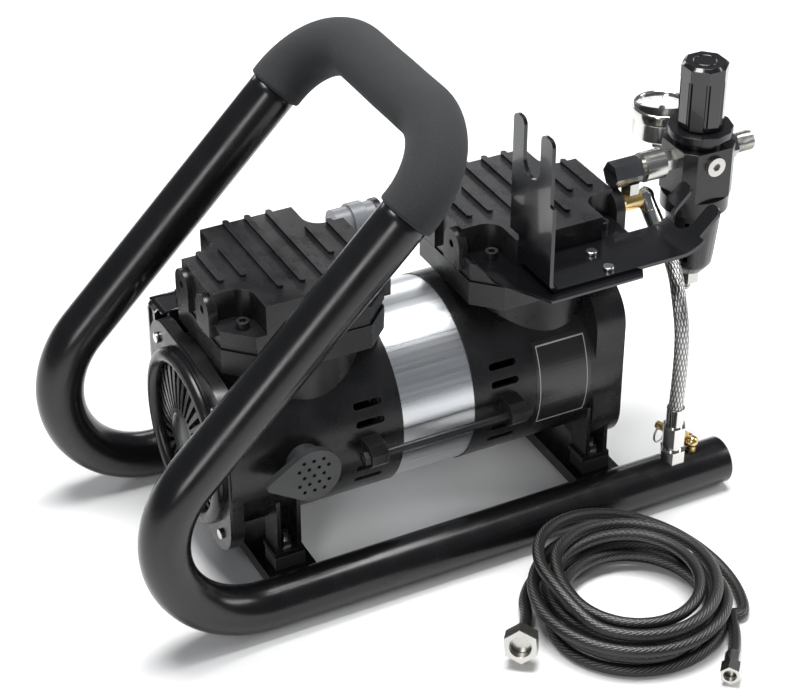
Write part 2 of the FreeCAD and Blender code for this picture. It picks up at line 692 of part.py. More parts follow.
def make_switch_box():
    shell = box(box_x0, box_x1, 58.0, box_y1, box_z0, box_z1)
    shell = shell.makeFillet(6.0, [e for e in shell.Edges if e.CenterOfMass.y > box_y1 - 0.1])
    shell = shell.cut(rod(on_axis(left_end_x - 10), X, drum_r, 120))
    shell = shell.cut(box(left_end_x - 5, left_end_x + flange_thick, -end_half, end_half,
                          motor_z - end_half, motor_z + end_half))
    inner = box(left_end_x + flange_thick + 3, box_x1 - 3, drum_r + 1, box_y1 - 3,
                box_z0 + 3, box_z1 - 3)
    shell = shell.cut(rod(Vector(left_head_x, 0, motor_z), Z, neck_r, block_bottom - motor_z))
    shell = shell.cut(inner).cut(rod(Vector(gland_x, gland_y, box_z0), Z, 3.5, 5))
    shell = shell.cut(box(switch_x - 10, switch_x + 10, switch_y - 6, switch_y + 6,
                          box_z1 - 9, box_z1 + 1))
    bezel = box(switch_x - 12, switch_x + 12, switch_y - 7.5, switch_y + 7.5, box_z1,
                box_z1 + 1.5)
    bezel = bezel.fuse(box(switch_x - 10, switch_x + 10, switch_y - 6, switch_y + 6,
                           box_z1 - 9, box_z1))
    bezel = bezel.cut(box(switch_x - 9, switch_x + 9, switch_y - 5, switch_y + 5, box_z1 - 7.5,
                          box_z1 + 2))
    pin = rod(Vector(switch_x, switch_y - 5, box_z1 - 2), Y, 1.2, 10)
    gland = hexagon(Vector(gland_x, gland_y, box_z0), -Z, 15, 6).fuse(
        cone(Vector(gland_x, gland_y, box_z0 - 6), -Z, 7.0, 5.5, 9))
    gland = gland.cut(rod(Vector(gland_x, gland_y, box_z0), -Z, 3.5, 15))
    save("switch_box", group([shell, bezel.fuse(pin), gland]))
    rocker = Part.makePolygon([Vector(switch_x + px, switch_y - 4.8, box_z1 + pz)
                               for px, pz in ((-7.6, 4.0), (0, 1.4), (7.6, 1.8), (6.4, -3.4),
                                              (-6.4, -3.4), (-7.6, 4.0))])
    rocker = Part.Face(rocker).extrude(Vector(0, 9.6, 0))
    save("rocker_switch", rocker.cut(rod(Vector(switch_x, switch_y - 6, box_z1 - 2), Y,
                                         1.2 + running, 12)))


def make_capacitor():
    can = rod(Vector(cap_x0, cap_y, cap_z), X, cap_r, cap_x1 - cap_x0 - 5)
    cap = rod(Vector(cap_x1 - 5, cap_y, cap_z), X, cap_r + 1.2, 5).fuse(
        rod(Vector(cap_x1, cap_y, cap_z), X, cap_r - 3, 2))
    cx = (cap_x0 + cap_x1) / 2
    clamp = ring(Vector(cx - 6, cap_y, cap_z), X, cap_r + 2, cap_r, 12)
    post = box(cx - 6, cx + 6, cap_y - 12, cap_y - 9, motor_z + 40, cap_z - cap_r + 3)
    saddle = rod(Vector(cx - 10, 0, motor_z), X, band_r + 2, 20).cut(
        rod(Vector(cx - 10, 0, motor_z), X, band_r, 20)).common(
        box(cx - 10, cx + 10, cap_y - 26, cap_y - 6, motor_z, motor_z + 90))
    post = post.cut(rod(Vector(cx - 10, 0, motor_z), X, band_r, 20))
    clamp = clamp.fuse(post).fuse(saddle).cut(
        rod(Vector(cap_x0, cap_y, cap_z), X, cap_r, 60))
    save("capacitor", group([can, cap, clamp]))


# ---- air fittings ---------------------------------------------------------------------


def make_head_fittings():
    at = Vector(boss_face_x, reg_y, fitting_z)
    nipple = hexagon(at, X, 17, 5).fuse(rod(at + X * 5, X, 8.2, 16))
    nipple = nipple.fuse(rod(at - X * 6, X, outlet_bore_r, 6))
    tee_x = at.x + 13
    nipple = nipple.cut(rod(at - X * 6, X, 2.5, 27))
    nipple = nipple.cut(rod(Vector(tee_x, reg_y, fitting_z), Z, 4.0, 10))
    save("outlet_nipple", nipple)
    riser = rod(Vector(tee_x, reg_y, fitting_z + 5), Z, 4.0, 6).fuse(
        hexagon(Vector(tee_x, reg_y, fitting_z + 8.2), Z, 14,
                port_z - manifold_across / 2 - fitting_z - 8.2))
    riser = riser.cut(rod(Vector(tee_x, reg_y, fitting_z), Z, 2.5, 40))
    riser = riser.cut(rod(at, X, 8.2, 21))
    long_hex = hexagon(Vector(manifold_x0, reg_y, port_z), X, manifold_across,
                       manifold_x1 - manifold_x0, turn=90)
    long_hex = long_hex.cut(rod(Vector(manifold_x0 + 5, reg_y, port_z), X, 5.0, 40)).cut(
        rod(Vector(tee_x, reg_y, port_z - 13), Z, 2.5, 13))
    coupling = rod(Vector(manifold_x1, reg_y, port_z), X, 8.0, 3).fuse(
        rod(Vector(manifold_x1 + 3, reg_y, port_z), X, 12.0, coupling_length))
    coupling = coupling.cut(rod(Vector(manifold_x1, reg_y, port_z), X, 5.0, 40))
    reducer_x = manifold_x1 + 3 + coupling_length
    body_face = reg_x - reg_body_half
    reducer = hexagon(Vector(reducer_x, reg_y, port_z), X, 15, body_face - reducer_x)
    reducer = reducer.fuse(rod(Vector(body_face, reg_y, port_z), X, 6.0, 6))
    reducer = reducer.cut(rod(Vector(reducer_x, reg_y, port_z), X, 3.0, 40))
    save("manifold", group([long_hex, riser, coupling, reducer]))
    # elbow from the nipple down and forward to the hose
    centre = Vector(elbow_x, reg_y, fitting_z)
    elbow = rod(Vector(boss_face_x + 21, reg_y, fitting_z), X, 7.0, 6).fuse(
        Part.makeSphere(8.0, centre)).fuse(rod(centre, hose_out, 7.0, 14))
    elbow = elbow.cut(rod(at, X, 9.0, 21))
    elbow = elbow.cut(rod(Vector(boss_face_x + 20, reg_y, fitting_z), X, 3.0, 7)).cut(
        rod(centre, hose_out, 3.0, 20))
    save("hose_elbow", elbow)


def make_transfer_hose():
    top = hose_top + hose_out * ferrule_length
    low = tank_port + Z * 48.0
    route = [top, top + hose_out * 24 + X * 2, Vector(tank_port_x + 5, -95, 178),
             Vector(tank_port_x + 4, -107, 140), low]
    hose = cord_tube("transfer_hose", route, transfer_hose_r)
    ferrules = []
    for at, way in ((hose_top, hose_out), (tank_port + Z * 48, -Z)):
        ferrule = rod(at, way, transfer_hose_r + 1.2, ferrule_length)
        hose = hose.cut(ferrule)
        ferrules.append(ferrule)
    save("transfer_hose", hose)
    nut = hexagon(tank_port + Z * 13, Z, 17, 18)
    tee = hexagon(tank_port - Z * 3, Z, 19, 12).cut(tube_outer_cutter(-1))
    tee = tee.fuse(rod(tank_port - Z * 6, Z, bung_r, 10)).fuse(rod(tank_port + Z * 9, Z, 8.0, 4))
    tee = tee.cut(rod(tank_port - Z * 6, Z, 3.0, 20))
    save("hose_end_fittings", group(ferrules + [nut, tee]))


def make_safety_valve():
    """Elbow out of the tank, spring-loaded relief valve, and the split ring that pulls it."""
    root = Vector(valve_x, -rail_half_gap, valve_z)
    body = rod(root - Z * (valve_z - 2 * tube_r + 6), Z, valve_stub_r, valve_z - 2 * tube_r + 6)
    body = body.fuse(Part.makeSphere(5.2, root)).fuse(hexagon(root + valve_way * 4, valve_way, 11, 5))
    body = body.fuse(rod(root, valve_way, 4.0, 6)).fuse(rod(root + valve_way * 9, valve_way, 5.6, 15))
    body = body.fuse(cone(root + valve_way * 24, valve_way, 5.6, 3.8, 4))
    bore_from = root + valve_way * 10
    save("safety_valve_body", body.cut(rod(bore_from, valve_way, valve_pin_r + running, 20)))
    pin = rod(root + valve_way * 11, valve_way, valve_pin_r, 18)
    stem = pin.fuse(rod(root + valve_way * 28.2, valve_way, 3.4, 7))
    across = valve_way.cross(Z)
    hole_at = root + valve_way * valve_hole_reach
    save("safety_valve_stem", stem.cut(rod(hole_at - across * 5, across, 2.0, 10)))
    save("pull_ring", Part.makeTorus(pull_ring_r, pull_wire_r, hole_at - Z * pull_ring_r, valve_way))


# ---- regulator ------------------------------------------------------------------------


def make_regulator():
    half = reg_body_half
    body = box(reg_x - half, reg_x + half, reg_y - half, reg_y + half, body_low_z, body_high_z)
    body = body.makeChamfer(reg_corner, [e for e in body.Edges
                                  if abs(e.tangentAt(e.FirstParameter).z) > 0.99])
    body = body.cut(rod(reg_axis + Z * (body_low_z + 8), Z, 13.0, 50))
    body = body.cut(rod(reg_axis + Z * body_low_z, Z, 3.0, 10))
    for base, way, r in ((Vector(reg_x - half, reg_y, port_z), X, 6.0),
                         (Vector(reg_x + half, reg_y, port_z), -X, 6.0),
                         (Vector(reg_x, reg_y - half, port_z), Y, 6.0),
                         (Vector(reg_x, reg_y + half, gauge_port_z), -Y, 5.0)):
        body = body.cut(rod(base, way, r, 6.0))
    save("regulator_body", body)
    ring_z = body_high_z
    bonnet = rod(reg_axis + Z * ring_z, Z, bonnet_neck_r, bonnet_neck)
    bonnet = bonnet.fuse(hexagon(reg_axis + Z * (ring_z + bonnet_neck), Z, lock_ring_across,
                                 lock_ring_thick, sides=12))
    bonnet = bonnet.fuse(rod(reg_axis + Z * (ring_z + 12), Z, 12.0, 14))
    bonnet = bonnet.cut(rod(reg_axis + Z * ring_z, Z, 10.0, 16))
    save("regulator_bonnet", bonnet.cut(rod(reg_axis + Z * ring_z, Z, 4.0 + running, 40)))
    screw = rod(reg_axis + Z * (ring_z + 8), Z, 4.0, 50)
    save("adjusting_screw", screw.fuse(rod(reg_axis + Z * (ring_z + 6), Z, 8.0, 3)))
    save("range_spring", ring(reg_axis + Z * (body_low_z + 10), Z, 8.5, 6.0,
                              ring_z + 5.5 - body_low_z - 10))
    knob = hexagon(reg_axis + Z * knob_low, Z, 2 * knob_r - 1.5, knob_high - knob_low, sides=8,
                   turn=22.5)
    knob = knob.makeChamfer(2.5, [e for e in knob.Edges
                                  if e.CenterOfMass.z > knob_high - 0.1])
    for i in range(8):
        groove = rod(reg_axis + Z * (knob_low - 1) + X * (knob_r + 0.4), Z, 1.8,
                     knob_high - knob_low - 12)
        groove.rotate(reg_axis, Z, 22.5 + 45 * i)
        knob = knob.cut(groove)
    knob = knob.cut(rod(reg_axis + Z * knob_low, Z, 13.0, 20))
    save("regulator_knob", knob.cut(rod(reg_axis + Z * knob_low, Z, 4.0 + running, 48)))

    plug = rod(Vector(reg_x, reg_y - half + 6, port_z), -Y, 6.0, 6).fuse(
        rod(Vector(reg_x, reg_y - half, port_z), -Y, 8.0, 3.0))
    plug = plug.cut(hexagon(Vector(reg_x, reg_y - half - 4, port_z), Y, 6.0, 6))
    save("port_fittings", group([plug, gauge_elbow()]))

    face = Vector(reg_x + half, reg_y, port_z)
    outlet = hexagon(face, X, 19, outlet_hex_length).fuse(rod(face - X * 6, X, 6.0, 6))
    outlet = outlet.fuse(rod(face + X * outlet_hex_length, X, outlet_thread_r,
                             outlet_thread_length))
    save("outlet_fitting", outlet.cut(rod(face - X * 6, X, 3.0, 60)))

    collar_z = body_low_z - 13
    collar = rod(reg_axis + Z * collar_z, Z, bowl_collar_r, 13)
    guard = cone(reg_axis + Z * (bowl_low_z + 8), Z, bowl_low_r + 1, bowl_top_r,
                 collar_z - bowl_low_z - 8).fuse(
        cone(reg_axis + Z * bowl_low_z, Z, bowl_low_r - 5, bowl_low_r + 1, 8))
    guard = guard.fuse(collar)
    hollow = cone(reg_axis + Z * (bowl_low_z + 6), Z, bowl_low_r - 4.5, bowl_top_r - 3,
                  body_low_z - bowl_low_z - 9)
    guard = guard.cut(hollow).cut(rod(reg_axis + Z * bowl_low_z, Z, 4.2, 10))
    guard = guard.cut(rod(reg_axis + Z * (body_low_z - 3), Z, 6.0, 4))
    for i in range(4):
        slot = box(reg_x + 5, reg_x + 40, reg_y - 2, reg_y + 2, bowl_low_z + 14, collar_z - 8)
        slot.rotate(reg_axis, Z, 45 + 90 * i)
        guard = guard.cut(slot)
    bowl = cone(reg_axis + Z * (bowl_low_z + 6), Z, bowl_low_r - 4.5, bowl_top_r - 3,
                body_low_z - bowl_low_z - 9)
    bowl = bowl.cut(cone(reg_axis + Z * (bowl_low_z + 8), Z, bowl_low_r - 7.0, bowl_top_r - 5.5,
                         body_low_z - bowl_low_z - 11))
    bowl = bowl.cut(rod(reg_axis + Z * bowl_low_z, Z, 4.2, 20))
    nut = hexagon(reg_axis + Z * (bowl_low_z - 12), Z, 17, 12).fuse(
        rod(reg_axis + Z * bowl_low_z, Z, 4.2, 10))
    nut = nut.cut(rod(reg_axis + Z * (bowl_low_z - 13), Z, 2.4 + running, 40))
    save("filter_bowl", group([guard, bowl, nut]))
    stem = rod(reg_axis + Z * (bowl_low_z - 21), Z, 2.4, 40)
    for dz in (-20, -17):
        stem = stem.fuse(cone(reg_axis + Z * (bowl_low_z + dz), Z, 2.4, 3.4, 2.0))
    save("drain_valve", stem)


def make_gauge():
    at = Vector(gauge_x, gauge_y, 0)
    case = ring(at + Z * gauge_low_z, Z, gauge_r - 0.8, gauge_r - 3.0, gauge_depth - 8)
    case = case.fuse(rod(at + Z * gauge_low_z, Z, gauge_r - 0.8, 2.0))
    case = case.fuse(ring(at + Z * (gauge_face_z - 9), Z, gauge_r, gauge_r - 3.0, 9))
    dial_z = gauge_face_z - 6
    dial = rod(at + Z * (dial_z - 2), Z, gauge_r - 3.0, 2.0)
    pivot = rod(at + Z * dial_z, Z, 0.8, 3.0)
    lens = rod(at + Z * (gauge_face_z - 2.6), Z, gauge_r - 3.0, 1.6)
    save("pressure_gauge", group([case, dial.fuse(pivot), lens]))
    needle = box(-1.0, gauge_r - 7, -0.5, 0.5, 0, 0.8).fuse(rod(Vector(0, 0, -0.4), Z, 2.4, 1.6))
    needle = needle.cut(rod(Vector(0, 0, -2), Z, 0.8 + running, 6))
    needle.rotate(Vector(0, 0, 0), Z, needle_angle)
    needle.translate(at + Z * (dial_z + 1.2))
    save("gauge_needle", needle)


def gauge_elbow():
    """From the back of the regulator's body up into the gauge."""
    start = Vector(gauge_x, reg_y + reg_body_half, gauge_port_z)
    stem = hexagon(Vector(gauge_x, gauge_y, gauge_port_z), Z, 12, gauge_low_z - gauge_port_z)
    reach = rod(start, Y, 5.0, gauge_y - start.y)
    return fuse([reach, stem, Part.makeSphere(4.9, Vector(gauge_x, gauge_y, gauge_port_z))])


# ---- airbrush holder ------------------------------------------------------------------
def make_adapter():
    """Plate in front of the right head, with an ear in each of its two corner recesses."""
    x0, x1 = right_head_x - head_half_x + 3, right_head_x + head_half_x - 3
    front, side_y, back = holder_front_y - 8, -head_half_y - 14, -head_half_y - 0.3
    outline = [(x0, back), (x0, side_y), (x0 + 24, front), (x1 - 24, front), (x1, side_y),
               (x1, back), (x0, back)]
    plate = Part.Face(Part.makePolygon([Vector(px, py, ledge_z) for px, py in outline]))
    plate = plate.extrude(Vector(0, 0, adapter_thick))
    gap = 0.5
    for dx in (-1, 1):
        ear_x = sorted((right_head_x + dx * (recess_x + gap), right_head_x + dx * (head_half_x - 3)))
        ear = box(*ear_x, back, -recess_y - gap, ledge_z, ledge_z + adapter_thick)
        inner = [e for e in ear.Edges if abs(e.tangentAt(e.FirstParameter).z) > 0.99
                 and e.CenterOfMass.y > -recess_y - 1
                 and abs(e.CenterOfMass.x - right_head_x) < recess_x + 1]
        plate = plate.fuse(ear.makeFillet(recess_r, inner))
        plate = plate.cut(rod(Vector(right_head_x + dx * head_bolt_x, -head_bolt_y, ledge_z), Z,
                              head_bolt_r, adapter_thick))
    for y in holder_screw_y:
        plate = plate.cut(rod(Vector(holder_screw_x, y, ledge_z), Z, 2.0, adapter_thick))
    save("holder_adapter", plate)


def fork_cut(y_mid, gap, low, reach):
    """The slot between two prongs: a round-bottomed notch along the plate."""
    notch = box(-20, 20, y_mid - gap / 2, y_mid + gap / 2, low + gap / 2, low + reach)
    return notch.fuse(rod(Vector(-20, y_mid, low + gap / 2), X, gap / 2, 40))


def make_holder():
    t, left, right = holder_thick, holder_left_x, holder_right_x
    front, back = holder_front_y, holder_back_y
    # profile in the XZ plane: upright, bend, base, bend, 45 degree wing
    r_out, r_in = bend_inner_r + t, bend_inner_r
    tilt = math.radians(45)
    s, c = math.sin(tilt), math.cos(tilt)
    z0, z1 = base_z, base_z + t
    arc1 = Part.Arc(Vector(left, 0, z0 + r_out),
                    Vector(left + r_out * (1 - c), 0, z0 + r_out * (1 - s)),
                    Vector(left + r_out, 0, z0)).toShape()
    wing_r = wing_bend_r
    half = tilt / 2
    w0 = Vector(right, 0, z0)
    w_mid = Vector(right + wing_r * math.sin(half), 0, z0 + wing_r * (1 - math.cos(half)))
    w_end = Vector(right + wing_r * s, 0, z0 + wing_r * (1 - c))
    tip_run = (wing_rise - wing_r * (1 - c)) / s
    tip = w_end + Vector(c, 0, s) * tip_run
    up = Vector(-s, 0, c) * t
    inner_r = wing_r - t
    v_mid = Vector(right + inner_r * math.sin(half), 0, z1 + inner_r * (1 - math.cos(half)))
    edges = [Part.LineSegment(Vector(left, 0, fork_top_z), Vector(left, 0, z0 + r_out)).toShape(),
             arc1,
             Part.LineSegment(Vector(left + r_out, 0, z0), w0).toShape(),
             Part.Arc(w0, w_mid, w_end).toShape(),
             Part.LineSegment(w_end, tip).toShape(),
             Part.LineSegment(tip, tip + up).toShape(),
             Part.LineSegment(tip + up, w_end + up).toShape(),
             Part.Arc(w_end + up, v_mid, Vector(right, 0, z1)).toShape(),
             Part.LineSegment(Vector(right, 0, z1), Vector(left + r_out, 0, z1)).toShape(),
             Part.Arc(Vector(left + r_out, 0, z1),
                      Vector(left + t + r_in * (1 - c), 0, z1 + r_in * (1 - s)),
                      Vector(left + t, 0, z1 + r_in)).toShape(),
             Part.LineSegment(Vector(left + t, 0, z1 + r_in),
                              Vector(left + t, 0, fork_top_z)).toShape(),
             Part.LineSegment(Vector(left + t, 0, fork_top_z),
                              Vector(left, 0, fork_top_z)).toShape()]
    strip = Part.Face(Part.Wire(edges)).extrude(Vector(0, back + 13 - front, 0))
    strip.translate(Vector(0, front, 0))
    # the base stays in front of the head; the forks reach a little further back
    for x0, x1, height in ((left - 1, right, base_back_h[0]), (right, tip.x + 9, base_back_h[1])):
        strip = strip.cut(box(x0, x1, back, back + 20, z0 - 1, z1 + height))
    # left fork: narrow slot with rounded prong tips
    mid_y = front + prong_width + 4 + 14.5
    notch = fork_cut(mid_y, prong_gap, fork_low_z, 60).fuse(
        box(-20, 20, front - 1, front + 4, fork_low_z - 10, fork_top_z + 5))
    notch.translate(Vector(left, 0, 0))
    strip = strip.cut(notch)
    # right fork: the same slot, laid along the wing
    wing_notch = fork_cut(mid_y, prong_gap, 0, 60).fuse(
        box(-20, 20, front - 1, front + wing_inset, wing_inset, 60))
    wing_notch.rotate(Vector(0, 0, 0), Y, 45)
    wing_notch.translate(w_end + Vector(-c, 0, -s) * 6)
    strip = strip.cut(wing_notch)
    for y in holder_screw_y:
        strip = strip.cut(rod(Vector(holder_screw_x, y, z0), Z, 2.0, t))
    tips = [e for e in strip.Edges if abs(e.Length - t) < 0.01
            and (e.CenterOfMass.z > fork_top_z - 0.1 or e.CenterOfMass.x > tip.x - t)]
    save("airbrush_holder", strip.makeFillet(prong_tip_r, tips))
    screws = [rod(Vector(holder_screw_x, y, z1), Z, 4.4, 2.8).fuse(
        rod(Vector(holder_screw_x, y, ledge_z), Z, 2.0, z1 - ledge_z)) for y in holder_screw_y]
    save("machine_screws", group(screws + cover_screws()))


# ---- airbrush hose --------------------------------------------------------------------


def hose_end(name, end, way, across, nut_length, thread_r):
    """Stem crimped on the hose, and the swivel nut that turns on it."""
    back, collar = 4.0, 2.0
    neck = thread_r - 1.8
    nut_at = end + way * 12.3
    stem = rod(end, way, air_hose_r + 1.2, 12).fuse(rod(end + way * 12, way, neck, back + 0.6))
    stem = stem.fuse(rod(nut_at + way * (back + 0.3), way, thread_r - 0.3, collar))
    save("hose_stem_" + name, stem)
    nut = hexagon(nut_at, way, across, nut_length)
    nut = nut.cut(rod(nut_at, way, neck + running, back))
    nut = nut.cut(rod(nut_at + way * back, way, thread_r + 0.5, collar + 0.6))
    save("hose_nut_" + name, nut.cut(rod(nut_at + way * back, way, thread_r, nut_length)))


def make_air_hose():
    coil = ring(coil_centre, Z, coil_outer_r, coil_inner_r, coil_height)
    coil = coil.makeFillet(10.0, [e for e in coil.Edges if len(e.Vertexes) == 1])
    save("hose_coil", coil)
    for name, route, across, nut_length, thread_r in (
            ("inlet", inlet_tail, 24.0, 14.0, outlet_thread_r),
            ("outlet", outlet_tail, 14.0, 12.0, 4.86)):
        tail = cord_tube("hose_tail_" + name, route, air_hose_r)
        save("hose_tail_" + name, tail.cut(coil))
        hose_end(name, route[-1], (route[-1] - route[-2]).normalize(), across, nut_length,
                 thread_r)


os.makedirs("parts", exist_ok=True)
make_frame()
save("cross_rails", group([cross_rail(x) for x in foot_x]))
make_feet()
make_motor()
make_housing("left_housing", -1, left_head_x, left_end_x, flange_thick, left_corner_r, left_web_x,
             foot_x[0])
make_housing("right_housing", 1, right_head_x, right_end_x, right_flange_thick, right_corner_r,
             right_web_x, foot_x[1])
save("cooling_fans", group([fan(left_end_x + 5, 22.0), fan(right_end_x - 18, 14.0)]))
make_left_fan_cover()
make_right_end_cover()
make_tie_rods()
save("eccentrics", group([eccentric(left_head_x, 1), eccentric(right_head_x, -1)]))
save("cylinder_liners", group([cylinder_liner(x) for x in head_xs]))
save("valve_plates", group([valve_plate(x) for x in head_xs] + reed_valves()))
for side_name, at_x in (("left", left_head_x), ("right", right_head_x)):
    save(side_name + "_piston_rod", piston_rod(at_x))
    make_head(side_name + "_head", at_x)
make_head_bolts()
make_filter()
make_switch_box()
make_capacitor()
make_head_fittings()
make_transfer_hose()
make_safety_valve()
make_regulator()
make_gauge()
make_adapter()
make_holder()
make_air_hose()
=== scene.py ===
import math
import bmesh
import bpy
import numpy as np
from mathutils import Matrix, Vector, noise


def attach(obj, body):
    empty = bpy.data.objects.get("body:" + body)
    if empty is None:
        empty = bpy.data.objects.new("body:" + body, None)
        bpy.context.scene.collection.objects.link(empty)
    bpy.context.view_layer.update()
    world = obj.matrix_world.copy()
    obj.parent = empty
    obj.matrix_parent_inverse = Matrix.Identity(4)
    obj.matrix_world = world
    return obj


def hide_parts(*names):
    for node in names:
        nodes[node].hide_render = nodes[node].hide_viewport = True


# Looks for the airbrush compressor. Metres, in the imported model's frame:
# +X along the motor shaft towards the air outlet, -Y the front, +Z up, floor at z = 0.

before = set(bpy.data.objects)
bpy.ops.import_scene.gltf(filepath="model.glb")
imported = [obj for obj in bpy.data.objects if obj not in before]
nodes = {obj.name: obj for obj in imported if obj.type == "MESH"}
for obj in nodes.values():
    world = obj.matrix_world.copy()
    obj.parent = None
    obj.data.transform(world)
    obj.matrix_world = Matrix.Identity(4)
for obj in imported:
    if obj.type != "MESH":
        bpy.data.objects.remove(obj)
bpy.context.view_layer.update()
MM = 0.001

# ---- driving dimensions, as in the CAD (mm) --------------------------------------------
tube_r, rail_half_gap = 19.05, 109.2
tube_end_x, lower_bend_x, lower_bend_r = 219.6, -184.8, 79.7
leg_angle, leg_length, top_bend_r = 45.0, 245.4, 58.2
grip_thickness, grip_overlap = 3.2, 6.0
motor_x, motor_z, drum_r = -23.4, 110.0, 76.0
gauge_x, gauge_y, gauge_face_z, gauge_r, gauge_depth = 234.1, 32.0, 276.0, 24.5, 26.0
reg_x, reg_y, port_z = 234.1, -22.0, 257.0
transfer_hose_r = 6.0
air_hose_r = 4.6
braid_pitch, braid_bundles = 9.5, 14
left_end_x = -196.9
knob_top_z, outlet_thread_r = 338.0, 8.33
outlet_face_x, outlet_hex_length, outlet_thread_length = 258.1, 9.0, 16.5
outlet_hex_flat = 9.5
coil_x, coil_y = 64.1, -222.0
coupling_x, manifold_low_z, bowl_low_z = 178.2, 247.4, 151.8
cap_end_x, cap_low_z = -12.8, 207.0


# ---- small helpers ---------------------------------------------------------------------
def vec(*mm):
    """A point given in millimetres."""
    return Vector(mm) * MM


def link_object(name, mesh):
    obj = bpy.data.objects.new(name, mesh)
    bpy.context.scene.collection.objects.link(obj)
    return obj


def mesh_object(name, verts, faces, material, smooth=True):
    mesh = bpy.data.meshes.new(name)
    mesh.from_pydata([tuple(v) for v in verts], [], faces)
    mesh.validate()
    mesh.polygons.foreach_set("use_smooth", [smooth] * len(mesh.polygons))
    mesh.materials.append(material)
    return link_object(name, mesh)


def place(obj, body, slot, *replaced):
    """Rides obj on its body and hides the CAD nodes it stands for; slot is not used."""
    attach(obj, body)
    if replaced:
        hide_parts(*replaced)
    return obj


# ---- camera and light ------------------------------------------------------------------
def make_camera():
    data = bpy.data.cameras.new("camera")
    data.lens, data.sensor_width = 101.38, 36.0
    data.clip_end = 20.0
    camera = bpy.data.objects.new("camera", data)
    bpy.context.scene.collection.objects.link(camera)
    camera.location = vec(-682.8, -1294.5, 1104.7)
    camera.rotation_euler = (math.radians(56.26), 0.0, math.radians(-26.99))
    bpy.context.scene.camera = camera


def area_light(name, at, aim, size, power):
    data = bpy.data.lights.new(name, "AREA")
    data.shape, data.size, data.size_y, data.energy = "RECTANGLE", size[0], size[1], power
    light = bpy.data.objects.new(name, data)
    bpy.context.scene.collection.objects.link(light)
    light.location = at
    light.rotation_euler = (Vector(aim) - Vector(at)).to_track_quat("-Z", "Y").to_euler()


def make_studio():
    """Dark room, three soft boxes and a bright table, so that dark parts keep their contrast."""
    world = bpy.data.worlds.new("studio")
    world.use_nodes = True
    back = world.node_tree.nodes["Background"]
    back.inputs["Color"].default_value = (0.90, 0.94, 1.0, 1)
    back.inputs["Strength"].default_value = 0.16
    bpy.context.scene.world = world
    centre = (0.0, 0.0, 0.15)
    area_light("overhead", (0.0, 0.1, 2.1), centre, (1.5, 0.9), 68)
    area_light("front_left", (-1.5, -1.5, 1.2), centre, (0.5, 1.3), 13)
    area_light("right_front", (1.7, -0.7, 1.1), centre, (0.4, 1.2), 12)
    area_light("back", (0.4, 1.9, 0.9), centre, (1.6, 0.35), 9)
    size = 8.0
    corners = [(-size, -size, 0), (size, -size, 0), (size, size, 0), (-size, size, 0)]
    floor = mesh_object("floor", corners, [(0, 1, 2, 3)], floor_material(), smooth=False)
    bpy.context.scene.view_settings.view_transform = "Standard"


# ---- material building blocks ----------------------------------------------------------
def new_material(name, base, roughness, metallic=0.0, **sockets):
    material = bpy.data.materials.new(name)
    material.use_nodes = True
    tree = material.node_tree
    shader = tree.nodes["Principled BSDF"]
    shader.inputs["Base Color"].default_value = (*base, 1)
    shader.inputs["Roughness"].default_value = roughness
    shader.inputs["Metallic"].default_value = metallic
    for key, value in sockets.items():
        socket = key.replace("_", " ").title().replace("Ior", "IOR")
        shader.inputs[socket].default_value = value
    return material, tree, shader


def texture(tree, kind, scale, stretch=(1, 1, 1), **settings):
    """A procedural texture in object coordinates, with its scale in features per metre."""
    where = tree.nodes.new("ShaderNodeTexCoord")
    mapping = tree.nodes.new("ShaderNodeMapping")
    mapping.inputs["Scale"].default_value = stretch
    tree.links.new(where.outputs["Object"], mapping.inputs["Vector"])
    node = tree.nodes.new(kind)
    node.inputs["Scale"].default_value = scale
    for key, value in settings.items():
        node.inputs[key].default_value = value
    tree.links.new(mapping.outputs["Vector"], node.inputs["Vector"])
    return node.outputs[0]


def remap(tree, source, low, high, from_low=0.3, from_high=0.7):
    node = tree.nodes.new("ShaderNodeMapRange")
    values = {"From Min": from_low, "From Max": from_high, "To Min": low, "To Max": high}
    for key, value in values.items():
        node.inputs[key].default_value = value
    tree.links.new(source, node.inputs["Value"])
    return node.outputs[0]


def add_bump(tree, shader, height, strength, depth_mm):
    node = tree.nodes.new("ShaderNodeBump")
    node.inputs["Strength"].default_value = strength
    node.inputs["Distance"].default_value = depth_mm * MM
    tree.links.new(height, node.inputs["Height"])
    if shader.inputs["Normal"].is_linked:
        tree.links.new(shader.inputs["Normal"].links[0].from_socket, node.inputs["Normal"])
    tree.links.new(node.outputs[0], shader.inputs["Normal"])


def edge_mask(tree, radius_mm):
    """1 on convex and concave edges, 0 on open faces."""
    bevel = tree.nodes.new("ShaderNodeBevel")
    bevel.samples = 4
    bevel.inputs["Radius"].default_value = radius_mm * MM
    flat = tree.nodes.new("ShaderNodeNewGeometry")
    dot = tree.nodes.new("ShaderNodeVectorMath")
    dot.operation = "DOT_PRODUCT"
    tree.links.new(bevel.outputs[0], dot.inputs[0])
    tree.links.new(flat.outputs["Normal"], dot.inputs[1])
    return remap(tree, dot.outputs["Value"], 1.0, 0.0, 0.80, 0.99)


def mix_colour(tree, shader, factor, first, second):
    node = tree.nodes.new("ShaderNodeMix")
    node.data_type = "RGBA"
    tree.links.new(factor, node.inputs["Factor"])
    node.inputs["A"].default_value = (*first, 1)
    node.inputs["B"].default_value = (*second, 1)
    tree.links.new(node.outputs["Result"], shader.inputs["Base Color"])


